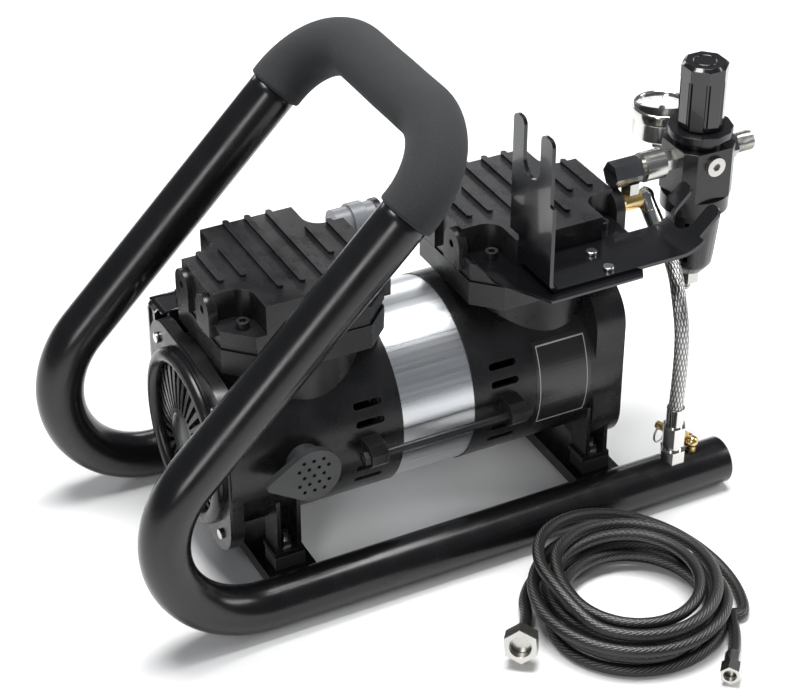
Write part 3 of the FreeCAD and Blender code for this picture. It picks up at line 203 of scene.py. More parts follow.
def wear_and_edge_highlight_finish(name, base, wear_and_highlight_colour, rough, metallic=0.0, grain=900, bump=0.15, depth=0.05,
                edge=0.8, stretch=(1, 1, 1), **sockets):
    """Colour drifts towards the second colour in cloudy patches of random tone and on edges, where
    it is partly wear and partly a painted edge highlight; roughness and bump from grain.
    """
    material, tree, shader = new_material(name, base, sum(rough) / 2, metallic, **sockets)
    cloud = texture(tree, "ShaderNodeTexNoise", 22, Detail=4.0, Roughness=0.6)
    fine = texture(tree, "ShaderNodeTexNoise", grain, stretch, Detail=3.0, Roughness=0.55)
    edges = edge_mask(tree, edge)
    blend = tree.nodes.new("ShaderNodeMath")
    blend.operation = "MULTIPLY_ADD"
    tree.links.new(remap(tree, cloud, 0.0, 0.35), blend.inputs[0])
    blend.inputs[1].default_value = 1.0
    # Edges pulled up to 0.65 of the way to the second colour: partly wear, partly painted edge
    # highlight.
    tree.links.new(remap(tree, edges, 0.0, 0.65, 0.0, 1.0), blend.inputs[2])
    mix_colour(tree, shader, blend.outputs[0], base, wear_and_highlight_colour)
    drift = texture(tree, "ShaderNodeTexNoise", 60, stretch, Detail=5.0)
    tree.links.new(remap(tree, drift, rough[0], rough[1]), shader.inputs["Roughness"])
    add_bump(tree, shader, fine, bump, depth)
    return material


def floor_material():
    material, tree, shader = new_material("floor_white", (0.93, 0.93, 0.93), 0.55)
    soft = texture(tree, "ShaderNodeTexNoise", 3, Detail=2.0)
    mix_colour(tree, shader, soft, (0.92, 0.92, 0.92), (0.94, 0.94, 0.94))
    return material


def make_materials():
    black, grey = (0.004, 0.004, 0.0045), (0.016, 0.016, 0.018)
    finish = {
        "tube": wear_and_edge_highlight_finish("tube_paint", (0.004, 0.004, 0.0045), (0.007, 0.007, 0.008),
                            (0.20, 0.29), grain=700, bump=0.04, depth=0.04, edge=0.5),
        # Cast parts: the light edge colour 0.050 is mostly a painted edge highlight, partly wear.
        "cast": wear_and_edge_highlight_finish("cast_black_paint", (0.004, 0.004, 0.0045), (0.050, 0.050, 0.053),
                            (0.24, 0.34), grain=700, bump=0.04, depth=0.04, edge=1.0,
                            specular_ior_level=0.36),
        "cover": wear_and_edge_highlight_finish("cover_black_paint", (0.005, 0.005, 0.0055), (0.022, 0.022, 0.024),
                             (0.22, 0.32), grain=700, bump=0.04, depth=0.04, edge=0.7,
                             specular_ior_level=0.40),
        "filter": wear_and_edge_highlight_finish("filter_plastic", (0.024, 0.025, 0.026), (0.050, 0.051, 0.054),
                              (0.38, 0.50), grain=2600, bump=0.2, depth=0.04, edge=0.5),
        "fan": wear_and_edge_highlight_finish("fan_plastic", (0.025, 0.025, 0.027), (0.05, 0.05, 0.052),
                           (0.42, 0.55), grain=2000, bump=0.15, depth=0.04),
        "gloss": wear_and_edge_highlight_finish("gloss_black_plastic", black, grey, (0.10, 0.17), grain=500,
                             bump=0.03, depth=0.03, edge=0.4, coat_weight=0.4),
        "coat": wear_and_edge_highlight_finish("dip_coat", (0.004, 0.004, 0.005), (0.009, 0.009, 0.011),
                            (0.14, 0.22), grain=160, bump=0.08, depth=0.12, edge=1.0,
                            coat_weight=0.35),
        "regulator": wear_and_edge_highlight_finish("regulator_black", (0.006, 0.006, 0.007), grey, (0.20, 0.30),
                                 grain=900, bump=0.06, depth=0.03, edge=0.5),
        "chrome": wear_and_edge_highlight_finish("chrome_plate", (0.60, 0.59, 0.57), (0.76, 0.75, 0.73),
                              (0.11, 0.19), 1.0, grain=260, bump=0.06, depth=0.06, edge=0.5),
        "knurl": wear_and_edge_highlight_finish("satin_nickel", (0.47, 0.46, 0.43), (0.70, 0.69, 0.66),
                             (0.20, 0.30), 1.0, grain=500, bump=0.08, depth=0.05, edge=0.6),
        "screw": wear_and_edge_highlight_finish("bright_screw", (0.66, 0.66, 0.68), (0.80, 0.80, 0.82),
                             (0.14, 0.26), 1.0, grain=1500, bump=0.06, depth=0.02, edge=0.3),
        "zinc": wear_and_edge_highlight_finish("zinc_plate", (0.58, 0.59, 0.58), (0.74, 0.73, 0.68),
                            (0.22, 0.38), 1.0, grain=1500, bump=0.10, depth=0.03, edge=0.4),
        "nickel": wear_and_edge_highlight_finish("dark_nickel", (0.23, 0.23, 0.24), (0.52, 0.52, 0.53),
                              (0.14, 0.24), 1.0, grain=900, bump=0.05, depth=0.02, edge=0.5),
        "brass": wear_and_edge_highlight_finish("brass", (0.70, 0.50, 0.21), (0.86, 0.70, 0.40), (0.18, 0.32),
                             1.0, grain=1200, bump=0.08, depth=0.03, edge=0.4),
        "steel": wear_and_edge_highlight_finish("plain_steel", (0.50, 0.50, 0.51), (0.66, 0.66, 0.67),
                             (0.22, 0.36), 1.0, grain=1500, bump=0.10, depth=0.03, edge=0.3),
        "oxide": wear_and_edge_highlight_finish("black_oxide", (0.022, 0.022, 0.024), (0.09, 0.09, 0.095),
                             (0.28, 0.42), 0.6, grain=1500, bump=0.12, depth=0.03, edge=0.5),
        "iron": wear_and_edge_highlight_finish("laminated_iron", (0.22, 0.22, 0.23), (0.34, 0.32, 0.30),
                            (0.40, 0.60), 0.8, grain=900, bump=0.3, depth=0.08),
        "alloy": wear_and_edge_highlight_finish("machined_alloy", (0.55, 0.56, 0.57), (0.68, 0.68, 0.69),
                             (0.28, 0.42), 1.0, grain=1100, bump=0.12, depth=0.04),
        "rubber": wear_and_edge_highlight_finish("rubber", (0.014, 0.014, 0.014), (0.035, 0.034, 0.033),
                              (0.62, 0.78), grain=1600, bump=0.3, depth=0.06),
        "can": wear_and_edge_highlight_finish("grey_sleeve", (0.23, 0.24, 0.26), (0.32, 0.33, 0.35),
                           (0.24, 0.34), grain=900, bump=0.05, depth=0.03),
        "needle": wear_and_edge_highlight_finish("needle_black", (0.012, 0.012, 0.012), grey, (0.4, 0.5)),
        "band": band_material(),
        "foam": foam_material(),
        "weave": weave_material(),
        "braid": braid_material(),
        "dial": wear_and_edge_highlight_finish("dial_white", (0.80, 0.80, 0.78), (0.86, 0.86, 0.84),
                            (0.35, 0.45), grain=1200, bump=0.05, depth=0.02),
        "dial_red": wear_and_edge_highlight_finish("dial_red", (0.62, 0.03, 0.02), (0.70, 0.06, 0.04), (0.4, 0.5)),
        "glass": glass_material(),
        "rule": wear_and_edge_highlight_finish("label_rule", (0.40, 0.40, 0.39), (0.50, 0.50, 0.48), (0.3, 0.4)),
        "label": wear_and_edge_highlight_finish("blank_label", (0.016, 0.016, 0.017), (0.030, 0.030, 0.031),
                             (0.20, 0.28), grain=600, bump=0.03, depth=0.02, edge=0.3),
    }
    return finish


def band_material():
    """Lacquered aluminium with faint brushing along the motor, and painted reflection bands in its
    colour.
    """
    material, tree, shader = new_material("brushed_band", (0.80, 0.81, 0.82), 0.30, 1.0)
    streaks = texture(tree, "ShaderNodeTexNoise", 1.0, (5, 420, 420), Detail=3.0,
                      Roughness=0.5)
    # Colour bands along the motor: painted reflection bands of the soft boxes.
    painted_reflection_bands = texture(tree, "ShaderNodeTexNoise", 1.0, (2, 28, 28), Detail=2.0)
    mix_colour(tree, shader, painted_reflection_bands, (0.70, 0.72, 0.75), (0.86, 0.88, 0.90))
    tree.links.new(remap(tree, streaks, 0.26, 0.36), shader.inputs["Roughness"])
    add_bump(tree, shader, streaks, 0.06, 0.02)
    return material


def foam_material():
    """Closed-cell foam: matt, dark grey, with fine open pores."""
    material, tree, shader = new_material("foam", (0.030, 0.031, 0.033), 0.92,
                                          sheen_weight=0.05, sheen_roughness=0.5)
    pores = texture(tree, "ShaderNodeTexVoronoi", 1500, Randomness=1.0)
    grain = texture(tree, "ShaderNodeTexNoise", 750, Detail=6.0, Roughness=0.7)
    mix_colour(tree, shader, remap(tree, grain, 0.0, 1.0), (0.008, 0.0085, 0.009),
               (0.026, 0.028, 0.031))
    tree.links.new(remap(tree, grain, 0.84, 0.98), shader.inputs["Roughness"])
    add_bump(tree, shader, pores, 0.55, 0.22)
    add_bump(tree, shader, grain, 0.55, 0.30)
    return material


def wave_of(tree, value, factor, offset=0.0):
    """0.5 + 0.5 sin(factor * value + offset)"""
    first = tree.nodes.new("ShaderNodeMath")
    first.operation = "MULTIPLY_ADD"
    tree.links.new(value, first.inputs[0])
    first.inputs[1].default_value, first.inputs[2].default_value = factor, offset
    sine = tree.nodes.new("ShaderNodeMath")
    sine.operation = "SINE"
    tree.links.new(first.outputs[0], sine.inputs[0])
    return remap(tree, sine.outputs[0], 0.0, 1.0, -1.0, 1.0)


def math_of(tree, operation, a, b):
    node = tree.nodes.new("ShaderNodeMath")
    node.operation = operation
    for socket, value in zip(node.inputs, (a, b)):
        if isinstance(value, (int, float)):
            socket.default_value = value
        else:
            tree.links.new(value, socket)
    return node.outputs[0]


def helices(tree, around, pitch_m):
    """Two opposite diagonals over a tube's UV map: u once round it, v in metres along it."""
    uv = tree.nodes.new("ShaderNodeUVMap")
    uv.uv_map = "along"
    split = tree.nodes.new("ShaderNodeSeparateXYZ")
    tree.links.new(uv.outputs[0], split.inputs[0])
    round_it = math_of(tree, "MULTIPLY", split.outputs[0], 2 * math.pi * around)
    along = math_of(tree, "MULTIPLY", split.outputs[1], 2 * math.pi / pitch_m)
    return math_of(tree, "ADD", round_it, along), math_of(tree, "SUBTRACT", round_it, along)


def weave_material():
    """Black nylon braid: fine crossing yarns and two rows of paler dashes along the hose."""
    material, tree, shader = new_material("hose_weave", (0.01, 0.01, 0.01), 0.5)
    left, right = helices(tree, 14, 0.0048)
    yarn = math_of(tree, "MAXIMUM", wave_of(tree, left, 1.0), wave_of(tree, right, 1.0))
    gaps = math_of(tree, "MULTIPLY", wave_of(tree, left, 1.0), wave_of(tree, right, 1.0))
    uv = tree.nodes.new("ShaderNodeUVMap")
    uv.uv_map = "along"
    split = tree.nodes.new("ShaderNodeSeparateXYZ")
    tree.links.new(uv.outputs[0], split.inputs[0])
    rows = remap(tree, wave_of(tree, split.outputs[0], 2 * math.pi * 3), 0.0, 1.0, 0.62, 0.9)
    dashes = remap(tree, wave_of(tree, left, 1.0), 0.0, 1.0, 0.55, 0.85)
    pale = math_of(tree, "MULTIPLY", rows, dashes)
    mix_colour(tree, shader, pale, (0.006, 0.006, 0.006), (0.13, 0.125, 0.115))
    tree.links.new(remap(tree, yarn, 0.62, 0.36, 0.0, 1.0), shader.inputs["Roughness"])
    add_bump(tree, shader, gaps, 0.7, 0.25)
    return material


def braid_material():
    """Stainless wire braid in bundles that cross over and under."""
    material, tree, shader = new_material("steel_braid", (0.55, 0.55, 0.55), 0.3, 1.0)
    left, right = helices(tree, braid_bundles, braid_pitch * MM)
    wires = math_of(tree, "MAXIMUM", wave_of(tree, left, 5.0), wave_of(tree, right, 5.0))
    gaps = math_of(tree, "MULTIPLY", wave_of(tree, left, 1.0), wave_of(tree, right, 1.0))
    mix_colour(tree, shader, remap(tree, gaps, 0.0, 1.0, 0.02, 0.45), (0.16, 0.16, 0.16),
               (0.74, 0.73, 0.71))
    tree.links.new(remap(tree, wires, 0.42, 0.20, 0.0, 1.0), shader.inputs["Roughness"])
    add_bump(tree, shader, wires, 0.5, 0.12)
    return material


def glass_material():
    material, tree, shader = new_material("gauge_glass", (1, 1, 1), 0.02,
                                          transmission_weight=1.0, ior=1.10)
    haze = texture(tree, "ShaderNodeTexNoise", 90, Detail=3.0)
    tree.links.new(remap(tree, haze, 0.01, 0.04), shader.inputs["Roughness"])
    return material


# ---- swept tubes and turned shapes -----------------------------------------------------
def ring_point(radius, height, k, around):
    """Point k of a ring of around points, radius and height in millimetres."""
    a = 2 * math.pi * k / around
    return vec(radius * math.cos(a), radius * math.sin(a), height)


def ring_faces(rings, around):
    """Quads between one ring of vertices and the next."""
    return [(i * around + k, i * around + (k + 1) % around,
             (i + 1) * around + (k + 1) % around, (i + 1) * around + k)
            for i in range(rings - 1) for k in range(around)]


def sweep(name, path, radius_at, around, material, uv=False):
    """Closed tube along path (points in metres). radius_at(distance, angle) is in metres."""
    points = [Vector(p) for p in path]
    count = len(points)
    tangents = [(points[min(i + 1, count - 1)] - points[max(i - 1, 0)]).normalized()
                for i in range(count)]
    side = tangents[0].orthogonal().normalized()
    distance, verts, distances = 0.0, [], []
    for i, (point, tangent) in enumerate(zip(points, tangents)):
        if i:
            distance += (point - points[i - 1]).length
            side = (side - tangent * side.dot(tangent)).normalized()
        distances.append(distance)
        other = tangent.cross(side)
        for k in range(around):
            a = 2 * math.pi * k / around
            verts.append(point + (side * math.cos(a) + other * math.sin(a))
                         * radius_at(distance, a))
    faces = ring_faces(count, around)
    faces.append(tuple(reversed(range(around))))
    faces.append(tuple((count - 1) * around + k for k in range(around)))
    obj = mesh_object(name, verts, faces, material)
    if uv:
        layer = obj.data.uv_layers.new(name="along")
        spot = 0
        for i in range(count - 1):
            for k in range(around):
                u0, u1 = k / around, (k + 1) / around
                v0, v1 = distances[i], distances[i + 1]
                for u, v in ((u0, v0), (u1, v0), (u1, v1), (u0, v1)):
                    layer.data[spot].uv = (u, v)
                    spot += 1
    return obj


def arc_points(centre, start, end, steps):
    """Points on the arc about centre from start to end, both on the circle."""
    a, b = start - centre, end - centre
    axis, angle = a.cross(b).normalized(), a.angle(b)
    return [centre + Matrix.Rotation(angle * i / steps, 3, axis) @ a for i in range(steps + 1)]


def line_points(start, end, steps):
    return [start.lerp(end, i / steps) for i in range(steps + 1)]


def path_length(path):
    return sum((b - a).length for a, b in zip(path, path[1:]))


leg_dir = Vector((math.cos(math.radians(leg_angle)), 0, math.sin(math.radians(leg_angle))))
bend_trim = lower_bend_r * math.tan(math.radians(180 - leg_angle) / 2)
leg_start = vec(lower_bend_x - bend_trim, -rail_half_gap, tube_r) + leg_dir * bend_trim * MM
leg_end = leg_start + leg_dir * leg_length * MM
top_corner = leg_end + leg_dir * top_bend_r * MM


def side_tube(name, side):
    """Floor run, wide bend and sloping leg of one side, with a rounded, closed floor end."""
    def flip(p):
        return Vector((p.x, p.y if side < 0 else -p.y, p.z))

    start = vec(tube_end_x, -rail_half_gap, tube_r)
    bend_in = vec(lower_bend_x, -rail_half_gap, tube_r)
    centre = vec(lower_bend_x, -rail_half_gap, tube_r + lower_bend_r)
    mid = centre + vec(-lower_bend_r, 0, 0)
    rim_mm, rim_steps = 1.6, 6
    rim = rim_mm * MM
    lead = [start - vec(rim_mm * (1 - math.cos(math.pi / 2 * i / rim_steps)), 0, 0)
            for i in range(rim_steps + 1)]
    path = lead + line_points(lead[-1], bend_in, 40)[1:]
    path += arc_points(centre, bend_in, mid, 24)[1:] + arc_points(centre, mid, leg_start, 14)[1:]
    path += line_points(leg_start, leg_end, 20)[1:]
    radii = {}
    distance = 0.0
    for i, p in enumerate(path):
        if i:
            distance += (p - path[i - 1]).length
        inset = max(0.0, 1.0 - distance / rim)
        radii[round(distance, 7)] = tube_r * MM - rim * (1 - math.sqrt(max(0, 1 - inset ** 2)))
    obj = sweep(name, [flip(p) for p in path], lambda d, a: radii[round(d, 7)], 72,
                finish["tube"])
    return place(obj, "compressor", "tube", name.replace("_shell", ""))


def grip_path():
    """The foam's centreline: a short stretch of each leg, both bends and the top bar."""
    start = leg_end - leg_dir * grip_overlap * MM
    r = top_bend_r * MM
    centre = leg_end + Vector((0, r, 0))
    far = centre + leg_dir * r
    path = line_points(start, leg_end, 4) + arc_points(centre, leg_end, far, 26)[1:]
    mirror = [Vector((p.x, -p.y, p.z)) for p in reversed(path)]
    return path + line_points(path[-1], mirror[0], 22)[1:-1] + mirror


def make_foam_grip():
    path = grip_path()
    total = path_length(path)
    outer = (tube_r + grip_thickness) * MM
    end_round, end_drop, dent = 3.0 * MM, 2.4 * MM, 0.35 * MM
    dents_along, dents_round = 38, 1.3

    def radius(distance, angle):
        from_end = min(distance, total - distance)
        ends = min(1.0, from_end / end_round)
        drop = end_drop * (1 - math.sqrt(1 - (1 - ends) ** 2))
        soft = noise.noise(Vector((distance * dents_along, math.cos(angle) * dents_round,
                                   math.sin(angle) * dents_round)))
        return outer - drop - dent * (0.5 + 0.5 * soft)

    dense = []
    for a, b in zip(path, path[1:]):
        dense += line_points(a, b, 3)[:-1]
    dense.append(path[-1])
    grip = sweep("foam_sleeve", dense, radius, 64, finish["foam"])
    place(grip, "compressor", "foam", "foam_grip")


# ---- airbrush hose ---------------------------------------------------------------------
inlet_tail = [(-27, -218, 14.5), (-13, -199, 9.6), (-5, -178, 6.2)]
outlet_tail = [(126, -262, 6.2), (116, -287, 7.4), (100, -306, 9)]


def smooth_step(x):
    x = min(max(x, 0.0), 1.0)
    return x * x * (3 - 2 * x)


def coil_points():
    """Turns lying in loose layers, the last one fallen outside them."""
    per_turn, shrink = 16, 0.981
    loose, pitch = 83.0, 9.5
    first_angle = math.radians(147.5)
    slot_turns, shift_turns = 0.85, 0.15
    # slots in the order the hose fills them: radius and layer
    slots = [(72.0, 0), (60.0, 0), (55.0, 1), (67.0, 1), (72.0, 2), (60.0, 2), (52.0, 3),
             (64.5, 3), (58.0, 4)]
    first, top = slots[0][0], slots[-1]
    last = slot_turns * (len(slots) - 1) + 0.72
    points = []
    for step in range(1, int(last * per_turn) + 1):
        turn = step / per_turn
        radius, layer = slots[0]
        for i, (next_radius, next_layer) in enumerate(slots[1:], 1):
            move = smooth_step((turn - slot_turns * i) / shift_turns)
            radius += (next_radius - slots[i - 1][0]) * move
            layer += (next_layer - slots[i - 1][1]) * move
        radius += (loose - first) * (1 - smooth_step(turn / 0.16))
        height = air_hose_r + 0.4 + pitch * layer
        fall = smooth_step((turn - last + 0.66) / 0.24)
        radius += (loose - top[0]) * fall
        height += (5.6 - height) * smooth_step((turn - last + 0.46) / 0.40)
        angle = first_angle - 2 * math.pi * turn
        radius += 1.0 * math.sin(2 * angle + 1.7 * layer)
        lean = Vector((2.2 * math.sin(1.9 * layer + 0.4), 2.0 * math.sin(2.3 * layer + 2.0)))
        x = coil_x + radius / shrink * math.cos(angle) + lean.x
        y = coil_y + radius / shrink * math.sin(angle) + lean.y
        points.append((x, y, height))
    return points


def nurbs_line(name, points_mm):
    """The centreline of a cord: a NURBS spline whose control points are points_mm."""
    data = bpy.data.curves.new(name, "CURVE")
    data.dimensions = "3D"
    data.resolution_u = 10
    spline = data.splines.new("NURBS")
    spline.points.add(len(points_mm) - 1)
    for point, mm in zip(spline.points, points_mm):
        point.co = (*vec(*mm), 1)
    spline.use_endpoint_u = True
    spline.order_u = 3
    curve = bpy.data.objects.new(name, data)
    bpy.context.scene.collection.objects.link(curve)
    bpy.context.view_layer.update()
    mesh = bpy.data.meshes.new_from_object(curve)
    line = [v.co.copy() for v in mesh.vertices]
    bpy.data.meshes.remove(mesh)
    bpy.data.objects.remove(curve)
    return line


def even_points(line, gap):
    """The same line, read at even steps of about gap."""
    lengths = np.cumsum([0.0] + [(b - a).length for a, b in zip(line, line[1:])])
    count = max(2, int(round(lengths[-1] / gap)) + 1)
    at = np.linspace(0, lengths[-1], count)
    xyz = np.array([tuple(p) for p in line])
    return [Vector(p) for p in np.stack([np.interp(at, lengths, xyz[:, k]) for k in range(3)], 1)]


def make_air_hose():
    line = nurbs_line("air_hose_line", inlet_tail + coil_points() + outlet_tail)
    path = even_points(line, 1.2 * MM)

    def radius(distance, angle):
        return air_hose_r * MM

    hose = sweep("air_hose", path, radius, 32, finish["weave"], uv=True)
    place(hose, "compressor", "hose_fabric", "hose_coil", "hose_tail_inlet", "hose_tail_outlet")


# ---- transfer hose ---------------------------------------------------------------------
hose_out = Vector((0, -0.77, -0.64)).normalized()
elbow_x, elbow_z, elbow_reach, ferrule_length = 186.1, 230.0, 14.0, 17.0
wire_depth = 0.45


def make_transfer_hose():
    """The braided hose from the head's outlet down to the tank."""
    top = Vector((elbow_x, reg_y, elbow_z)) + hose_out * (elbow_reach + ferrule_length)
    route = [tuple(top), tuple(top + hose_out * 24 + Vector((2, 0, 0))), (176.1, -95, 178),
             (175.1, -107, 140), (171.1, -109.2, 86.1)]
    path = even_points(nurbs_line("transfer_line", route), 0.5 * MM)

    def radius(distance, angle):
        round_it = braid_bundles * angle
        along = 2 * math.pi * distance / (braid_pitch * MM)
        weave = (0.5 + 0.5 * math.sin(round_it + along)) * (0.5 + 0.5 * math.sin(round_it - along))
        return (transfer_hose_r - wire_depth + wire_depth * math.sqrt(weave)) * MM

    hose = sweep("braided_hose", path, radius, 96, finish["braid"], uv=True)
    place(hose, "compressor", "braid", "transfer_hose")


# ---- CAD nodes -------------------------------------------------------------------------
def refine(node, key, bevel=0.5, segments=2, angle=32.0):
    """Gives a CAD node its material and softly rounded edges."""
    obj = nodes[node]
    mesh = obj.data
    mesh.materials.clear()
    mesh.materials.append(finish[key])
    if "custom_normal" in mesh.attributes:
        mesh.attributes.remove(mesh.attributes["custom_normal"])
    mesh.polygons.foreach_set("material_index", [0] * len(mesh.polygons))
    mesh.polygons.foreach_set("use_smooth", [True] * len(mesh.polygons))
    weld = obj.modifiers.new("weld", "WELD")
    weld.merge_threshold = 2e-6
    if bevel:
        flat = obj.modifiers.new("planar", "DECIMATE")
        flat.decimate_type, flat.angle_limit = "DISSOLVE", math.radians(0.6)
        edge = obj.modifiers.new("edges", "BEVEL")
        edge.width, edge.segments = bevel * MM, segments
        edge.limit_method, edge.angle_limit = "ANGLE", math.radians(angle)
        edge.harden_normals = True
        edge.miter_outer = "MITER_ARC"
    return obj


def repaint(node, key, inside):
    """Gives another finish to the faces of a CAD node whose centres pass the test (in mm)."""
    obj = nodes[node]
    obj.data.materials.append(finish[key])
    index = len(obj.data.materials) - 1
    for face in obj.data.polygons:
        centre = obj.matrix_world @ face.center / MM
        if inside(centre):
            face.material_index = index


def dress_cad_nodes():
    looks = {
        "tube": ["handle_tube", "cross_rails", "tube_end_caps"],
        "cast": ["left_housing", "right_housing", "left_head", "right_head", "valve_plates"],
        "cover": ["left_fan_cover", "right_end_cover"],
        "filter": ["filter_neck", "filter_cover"],
        "fan": ["cooling_fans"],
        "gloss": ["switch_box", "rocker_switch", "regulator_knob"],
        "coat": ["airbrush_holder", "holder_adapter"],
        "regulator": ["regulator_body", "regulator_bonnet", "filter_bowl"],
        "chrome": ["hose_elbow", "hose_end_fittings"],
        "knurl": ["hose_stem_inlet", "hose_nut_inlet", "hose_stem_outlet", "hose_nut_outlet",
                  "drain_valve", "port_fittings"],
        "screw": ["machine_screws"],
        "zinc": ["foot_fasteners"],
        "nickel": ["manifold"],
        "brass": ["outlet_nipple", "safety_valve_body", "safety_valve_stem"],
        "steel": ["pull_ring", "adjusting_screw", "range_spring", "shaft_bearings"],
        "oxide": ["tie_rods", "head_bolts"],
        "iron": ["stator", "rotor", "eccentrics"],
        "alloy": ["left_piston_rod", "right_piston_rod", "cylinder_liners"],
        "rubber": ["foot_bushes"],
        "can": ["capacitor"],
        "band": ["motor_band"],
        "needle": ["gauge_needle"],
    }
    widths = {"left_head": 1.5, "right_head": 1.5, "left_housing": 1.1, "right_housing": 1.1,
              "airbrush_holder": 1.3, "holder_adapter": 0.9, "left_fan_cover": 0.6,
              "right_end_cover": 0.6, "switch_box": 0.8, "filter_cover": 0.7,
              "cross_rails": 1.0, "regulator_knob": 0.5, "motor_band": 0.4,
              "gauge_needle": 0.1, "machine_screws": 0.7, "head_bolts": 0.6,
              "foot_fasteners": 0.35, "tube_end_caps": 0.6, "pull_ring": 0,
              "range_spring": 0, "stator": 0, "rotor": 0}
    for key, names in looks.items():
        for node in names:
            refine(node, key, widths.get(node, 0.45))
    repaint("manifold", "knurl", lambda c: c.x > coupling_x or c.z < manifold_low_z)
    repaint("filter_bowl", "knurl", lambda c: c.z < bowl_low_z)
    repaint("capacitor", "cast", lambda c: c.x > cap_end_x or c.z < cap_low_z)


# ---- pressure gauge --------------------------------------------------------------------
def lathe(name, profile, centre, material, around=96):
    """Profile of (radius, height) in millimetres, turned about a vertical axis at centre."""
    verts = [centre + ring_point(radius, height, k, around)
             for radius, height in profile for k in range(around)]
    return mesh_object(name, verts, ring_faces(len(profile), around), material)


def make_gauge():
    centre = vec(gauge_x, gauge_y, 0)
    top, r = gauge_face_z, gauge_r
    low = top - gauge_depth
    profile = [(0, low), (r - 3, low), (r - 1.6, low + 0.5), (r - 0.9, low + 1.6),
               (r - 0.9, top - 10.4), (r - 0.4, top - 9.8), (r, top - 9.0), (r, top - 1.8),
               (r - 0.4, top - 0.6), (r - 1.4, top), (r - 2.4, top - 0.3), (r - 3.0, top - 1.0),
               (r - 3.1, top - 6.0), (0, top - 6.0)]
    case = lathe("gauge_case", profile, centre, finish["chrome"])
    place(case, "compressor", "chrome", "pressure_gauge")
    dial = lathe("gauge_dial", [(0, top - 5.9), (r - 3.2, top - 5.9), (r - 3.2, top - 5.4),
                                (r - 3.6, top - 5.2), (0, top - 5.2)], centre, finish["dial"])
    place(dial, "compressor", "chrome")
    glass = lathe("gauge_glass", [(0, top - 2.6), (r - 3.1, top - 2.6), (r - 3.1, top - 1.4),
                                  (r - 8, top - 1.0), (0, top - 0.9)], centre, finish["glass"])
    place(glass, "compressor", "chrome")
    marks, reds = bmesh.new(), bmesh.new()
    steps, first_deg, sweep_deg = 40, 225, 270
    tick_end = r - 4.4
    for i in range(steps + 1):
        angle = math.radians(first_deg - sweep_deg * i / steps)
        reach, wide = (3.2, 0.55) if i % 5 == 0 else (1.8, 0.28)
        target = reds if i in (30, 35, 40) else marks
        add_bar(target, centre, angle, tick_end - reach, tick_end, wide, top - 5.15, 0.12)
    for name, mesh_data, key in (("gauge_ticks", marks, "needle"),
                                 ("gauge_red_ticks", reds, "dial_red")):
        mesh = bpy.data.meshes.new(name)
        mesh_data.to_mesh(mesh)
        mesh.materials.append(finish[key])
        place(link_object(name, mesh), "compressor", "needle_black")


def add_bar(target, centre, angle, r0, r1, wide, z, thick):
    """A thin radial bar from r0 to r1 (mm) at an angle on the dial."""
    out = Vector((math.cos(angle), math.sin(angle), 0))
    across = Vector((-out.y, out.x, 0))
    corners = []
    for height in (z, z + thick):
        for r, w in ((r0, -1), (r1, -1), (r1, 1), (r0, 1)):
            spot = out * r + across * w * wide / 2
            corners.append(target.verts.new(centre + vec(spot.x, spot.y, height)))
    for quad in ((3, 2, 1, 0), (4, 5, 6, 7), (0, 1, 5, 4), (1, 2, 6, 5), (2, 3, 7, 6),
                 (3, 0, 4, 7)):
        target.faces.new([corners[q] for q in quad])


# ---- label -----------------------------------------------------------------------------
def make_label():
    """A blank label with a pale rule, laid round the right drum."""
    curved_patch("blank_label", 62.0, 111.0, 146.0, 205.0, 0.25, finish["label"])
    left, right, width = 65, 108, 0.7
    top, low, width_deg = 149.5, 201.5, 0.9
    for name, x0, x1, from_deg, to_deg in (("rule_top", left, right, top - width_deg, top),
                                           ("rule_low", left, right, low, low + width_deg),
                                           ("rule_left", left, left + width, top, low),
                                           ("rule_right", right - width, right, top, low)):
        curved_patch(name, x0, x1, from_deg, to_deg, 0.32, finish["rule"])


def curved_patch(name, x0, x1, low, high, lift, material):
    """Thin sheet on the drum, from x0 to x1 (mm) and between two angles in degrees."""
    steps = 24
    verts = []
    for radius in (drum_r + 0.03, drum_r + lift):
        for i in range(steps + 1):
            a = math.radians(low + (high - low) * i / steps)
            y, z = math.cos(a) * radius, motor_z + math.sin(a) * radius
            verts += [vec(x0, y, z), vec(x1, y, z)]
    n = 2 * (steps + 1)
    faces = [(0, n, n + 1, 1), (n - 2, n - 1, 2 * n - 1, 2 * n - 2)]
    for i in range(steps):
        a = 2 * i
        faces += [(n + a, n + a + 2, n + a + 3, n + a + 1), (a, a + 1, a + 3, a + 2),
                  (a, a + 2, n + a + 2, n + a), (a + 1, n + a + 1, n + a + 3, a + 3)]
    place(mesh_object(name, verts, faces, material, smooth=False), "compressor", "gloss_black")


# ---- small turned and formed parts -----------------------------------------------------
def turned(name, profile, origin, axis, material, around=72):
    """Profile of (radius, distance along axis) in mm, turned about axis from origin."""
    spin = Vector(axis).normalized().to_track_quat("Z", "Y")
    verts = [vec(*origin) + spin @ ring_point(radius, along, k, around)
             for radius, along in profile for k in range(around)]
    return mesh_object(name, verts, ring_faces(len(profile), around), material)


def make_fan_rim():
    """Rolled rim and hub button of the left fan cover."""
    rim_r, rim_out, rim_half_wide, rim_half_deep, steps = 63.8, 5.0, 5.9, 5.6, 28
    rim = [(rim_r + rim_half_wide * math.cos(2 * math.pi * i / steps),
            rim_out + rim_half_deep * math.sin(2 * math.pi * i / steps))
           for i in range(steps + 1)]
    place(turned("fan_cover_rim", rim, (left_end_x, 0, motor_z), (-1, 0, 0), finish["cover"],
                 120), "compressor", "black_cover")
    hub = [(0, 10.6), (6, 10.5), (12, 10.0), (17, 9.1), (20.5, 7.9), (21.5, 7.2), (21.5, 6.0)]
    place(turned("fan_cover_hub", hub, (left_end_x, 0, motor_z), (-1, 0, 0), finish["cover"]),
          "compressor", "black_cover")


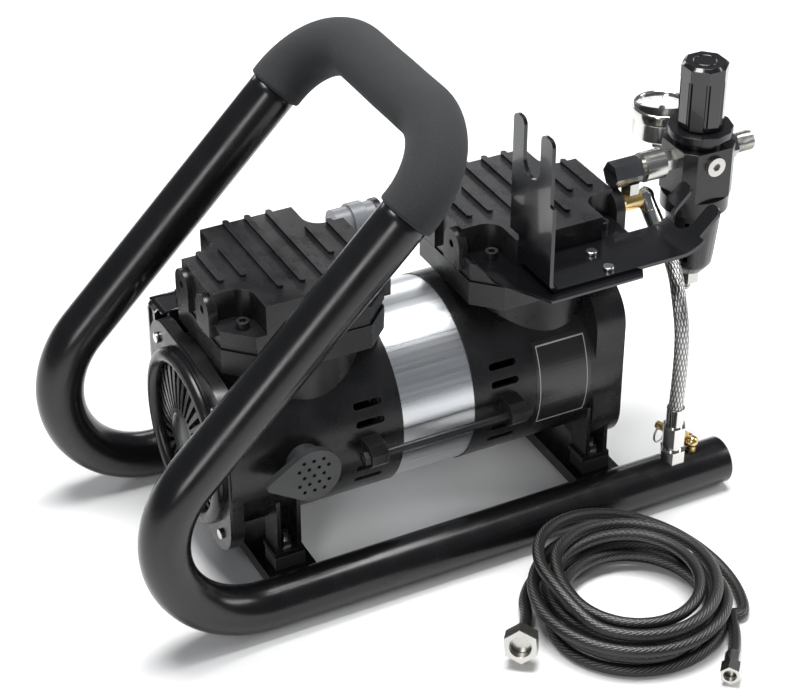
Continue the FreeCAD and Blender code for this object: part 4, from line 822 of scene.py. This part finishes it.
def make_knob_mark():
    """Raised ring on top of the pressure knob."""
    radius = 9.0
    profile = [(radius + 0.9, -0.2), (radius + 0.6, 0.35), (radius, 0.5),
               (radius - 0.6, 0.35), (radius - 0.9, -0.2)]
    place(turned("knob_ring", profile, (reg_x, reg_y, knob_top_z), (0, 0, 1),
                 finish["gloss"]), "pressure_knob", "gloss_black")


def make_outlet():
    """Hexagon and threaded spigot of the air outlet."""
    start = (outlet_face_x, reg_y, port_z)
    corner_r, sunk = outlet_hex_flat / math.cos(math.pi / 6), 0.5
    outline = [(0, -sunk), (corner_r, -sunk), (corner_r, outlet_hex_length),
               (0, outlet_hex_length)]
    hexagon = turned("outlet_hexagon", outline, start, (1, 0, 0), finish["nickel"], 6)
    hexagon.data.polygons.foreach_set("use_smooth", [False] * len(hexagon.data.polygons))
    edge = hexagon.modifiers.new("edges", "BEVEL")
    edge.width, edge.segments = 0.6 * MM, 2
    place(hexagon, "compressor", "dark_nickel", "outlet_fitting")
    pitch, depth = 1.337, 0.75
    x0 = outlet_face_x + outlet_hex_length

    def radius(distance, angle):
        mm = distance / MM
        phase = (mm / pitch + angle / (2 * math.pi)) % 1.0
        tooth = abs(2 * phase - 1)
        lead = min(1.0, (outlet_thread_length - mm) / 1.2, mm / 0.8 + 0.1)
        return (outlet_thread_r - depth + depth * tooth * max(lead, 0.0)) * MM

    path = line_points(vec(x0, reg_y, port_z), vec(x0 + outlet_thread_length, reg_y, port_z), 110)
    place(sweep("outlet_thread", path, radius, 48, finish["knurl"]), "compressor", "dark_nickel")
    bore = [(outlet_thread_r - 1.6, 0.02), (3.4, 0.02), (3.0, -0.4)]
    place(turned("outlet_mouth", bore, (x0 + outlet_thread_length, reg_y, port_z), (1, 0, 0),
                 finish["needle"]), "compressor", "dark_nickel")


def make_box_trim():
    """Polished strip along the outer end of the switch box."""
    x, outer_y, inner_y = left_end_x + 2.6, 84.5, 66
    low_z, top_z, bend = 84, 183, 7
    side_top, top_start = vec(x, outer_y, top_z - bend), vec(x, outer_y - bend, top_z)
    path = line_points(vec(x, outer_y, low_z), side_top, 16)
    path += arc_points(vec(x, outer_y - bend, top_z - bend), side_top, top_start, 8)[1:]
    path += line_points(top_start, vec(x, inner_y, top_z), 6)[1:]

    def radius(distance, angle):
        return (0.9 + 1.5 * abs(math.cos(angle)) ** 3) * MM

    place(sweep("switch_box_trim", path, radius, 20, finish["chrome"]), "compressor", "chrome")


# ---- assembly --------------------------------------------------------------------------
make_camera()
finish = make_materials()
make_air_hose()
make_transfer_hose()
make_studio()
side_tube("front_side_tube_shell", -1)
side_tube("rear_side_tube_shell", 1)
make_foam_grip()
dress_cad_nodes()
make_gauge()
make_label()
make_fan_rim()
make_knob_mark()
make_outlet()
make_box_trim()
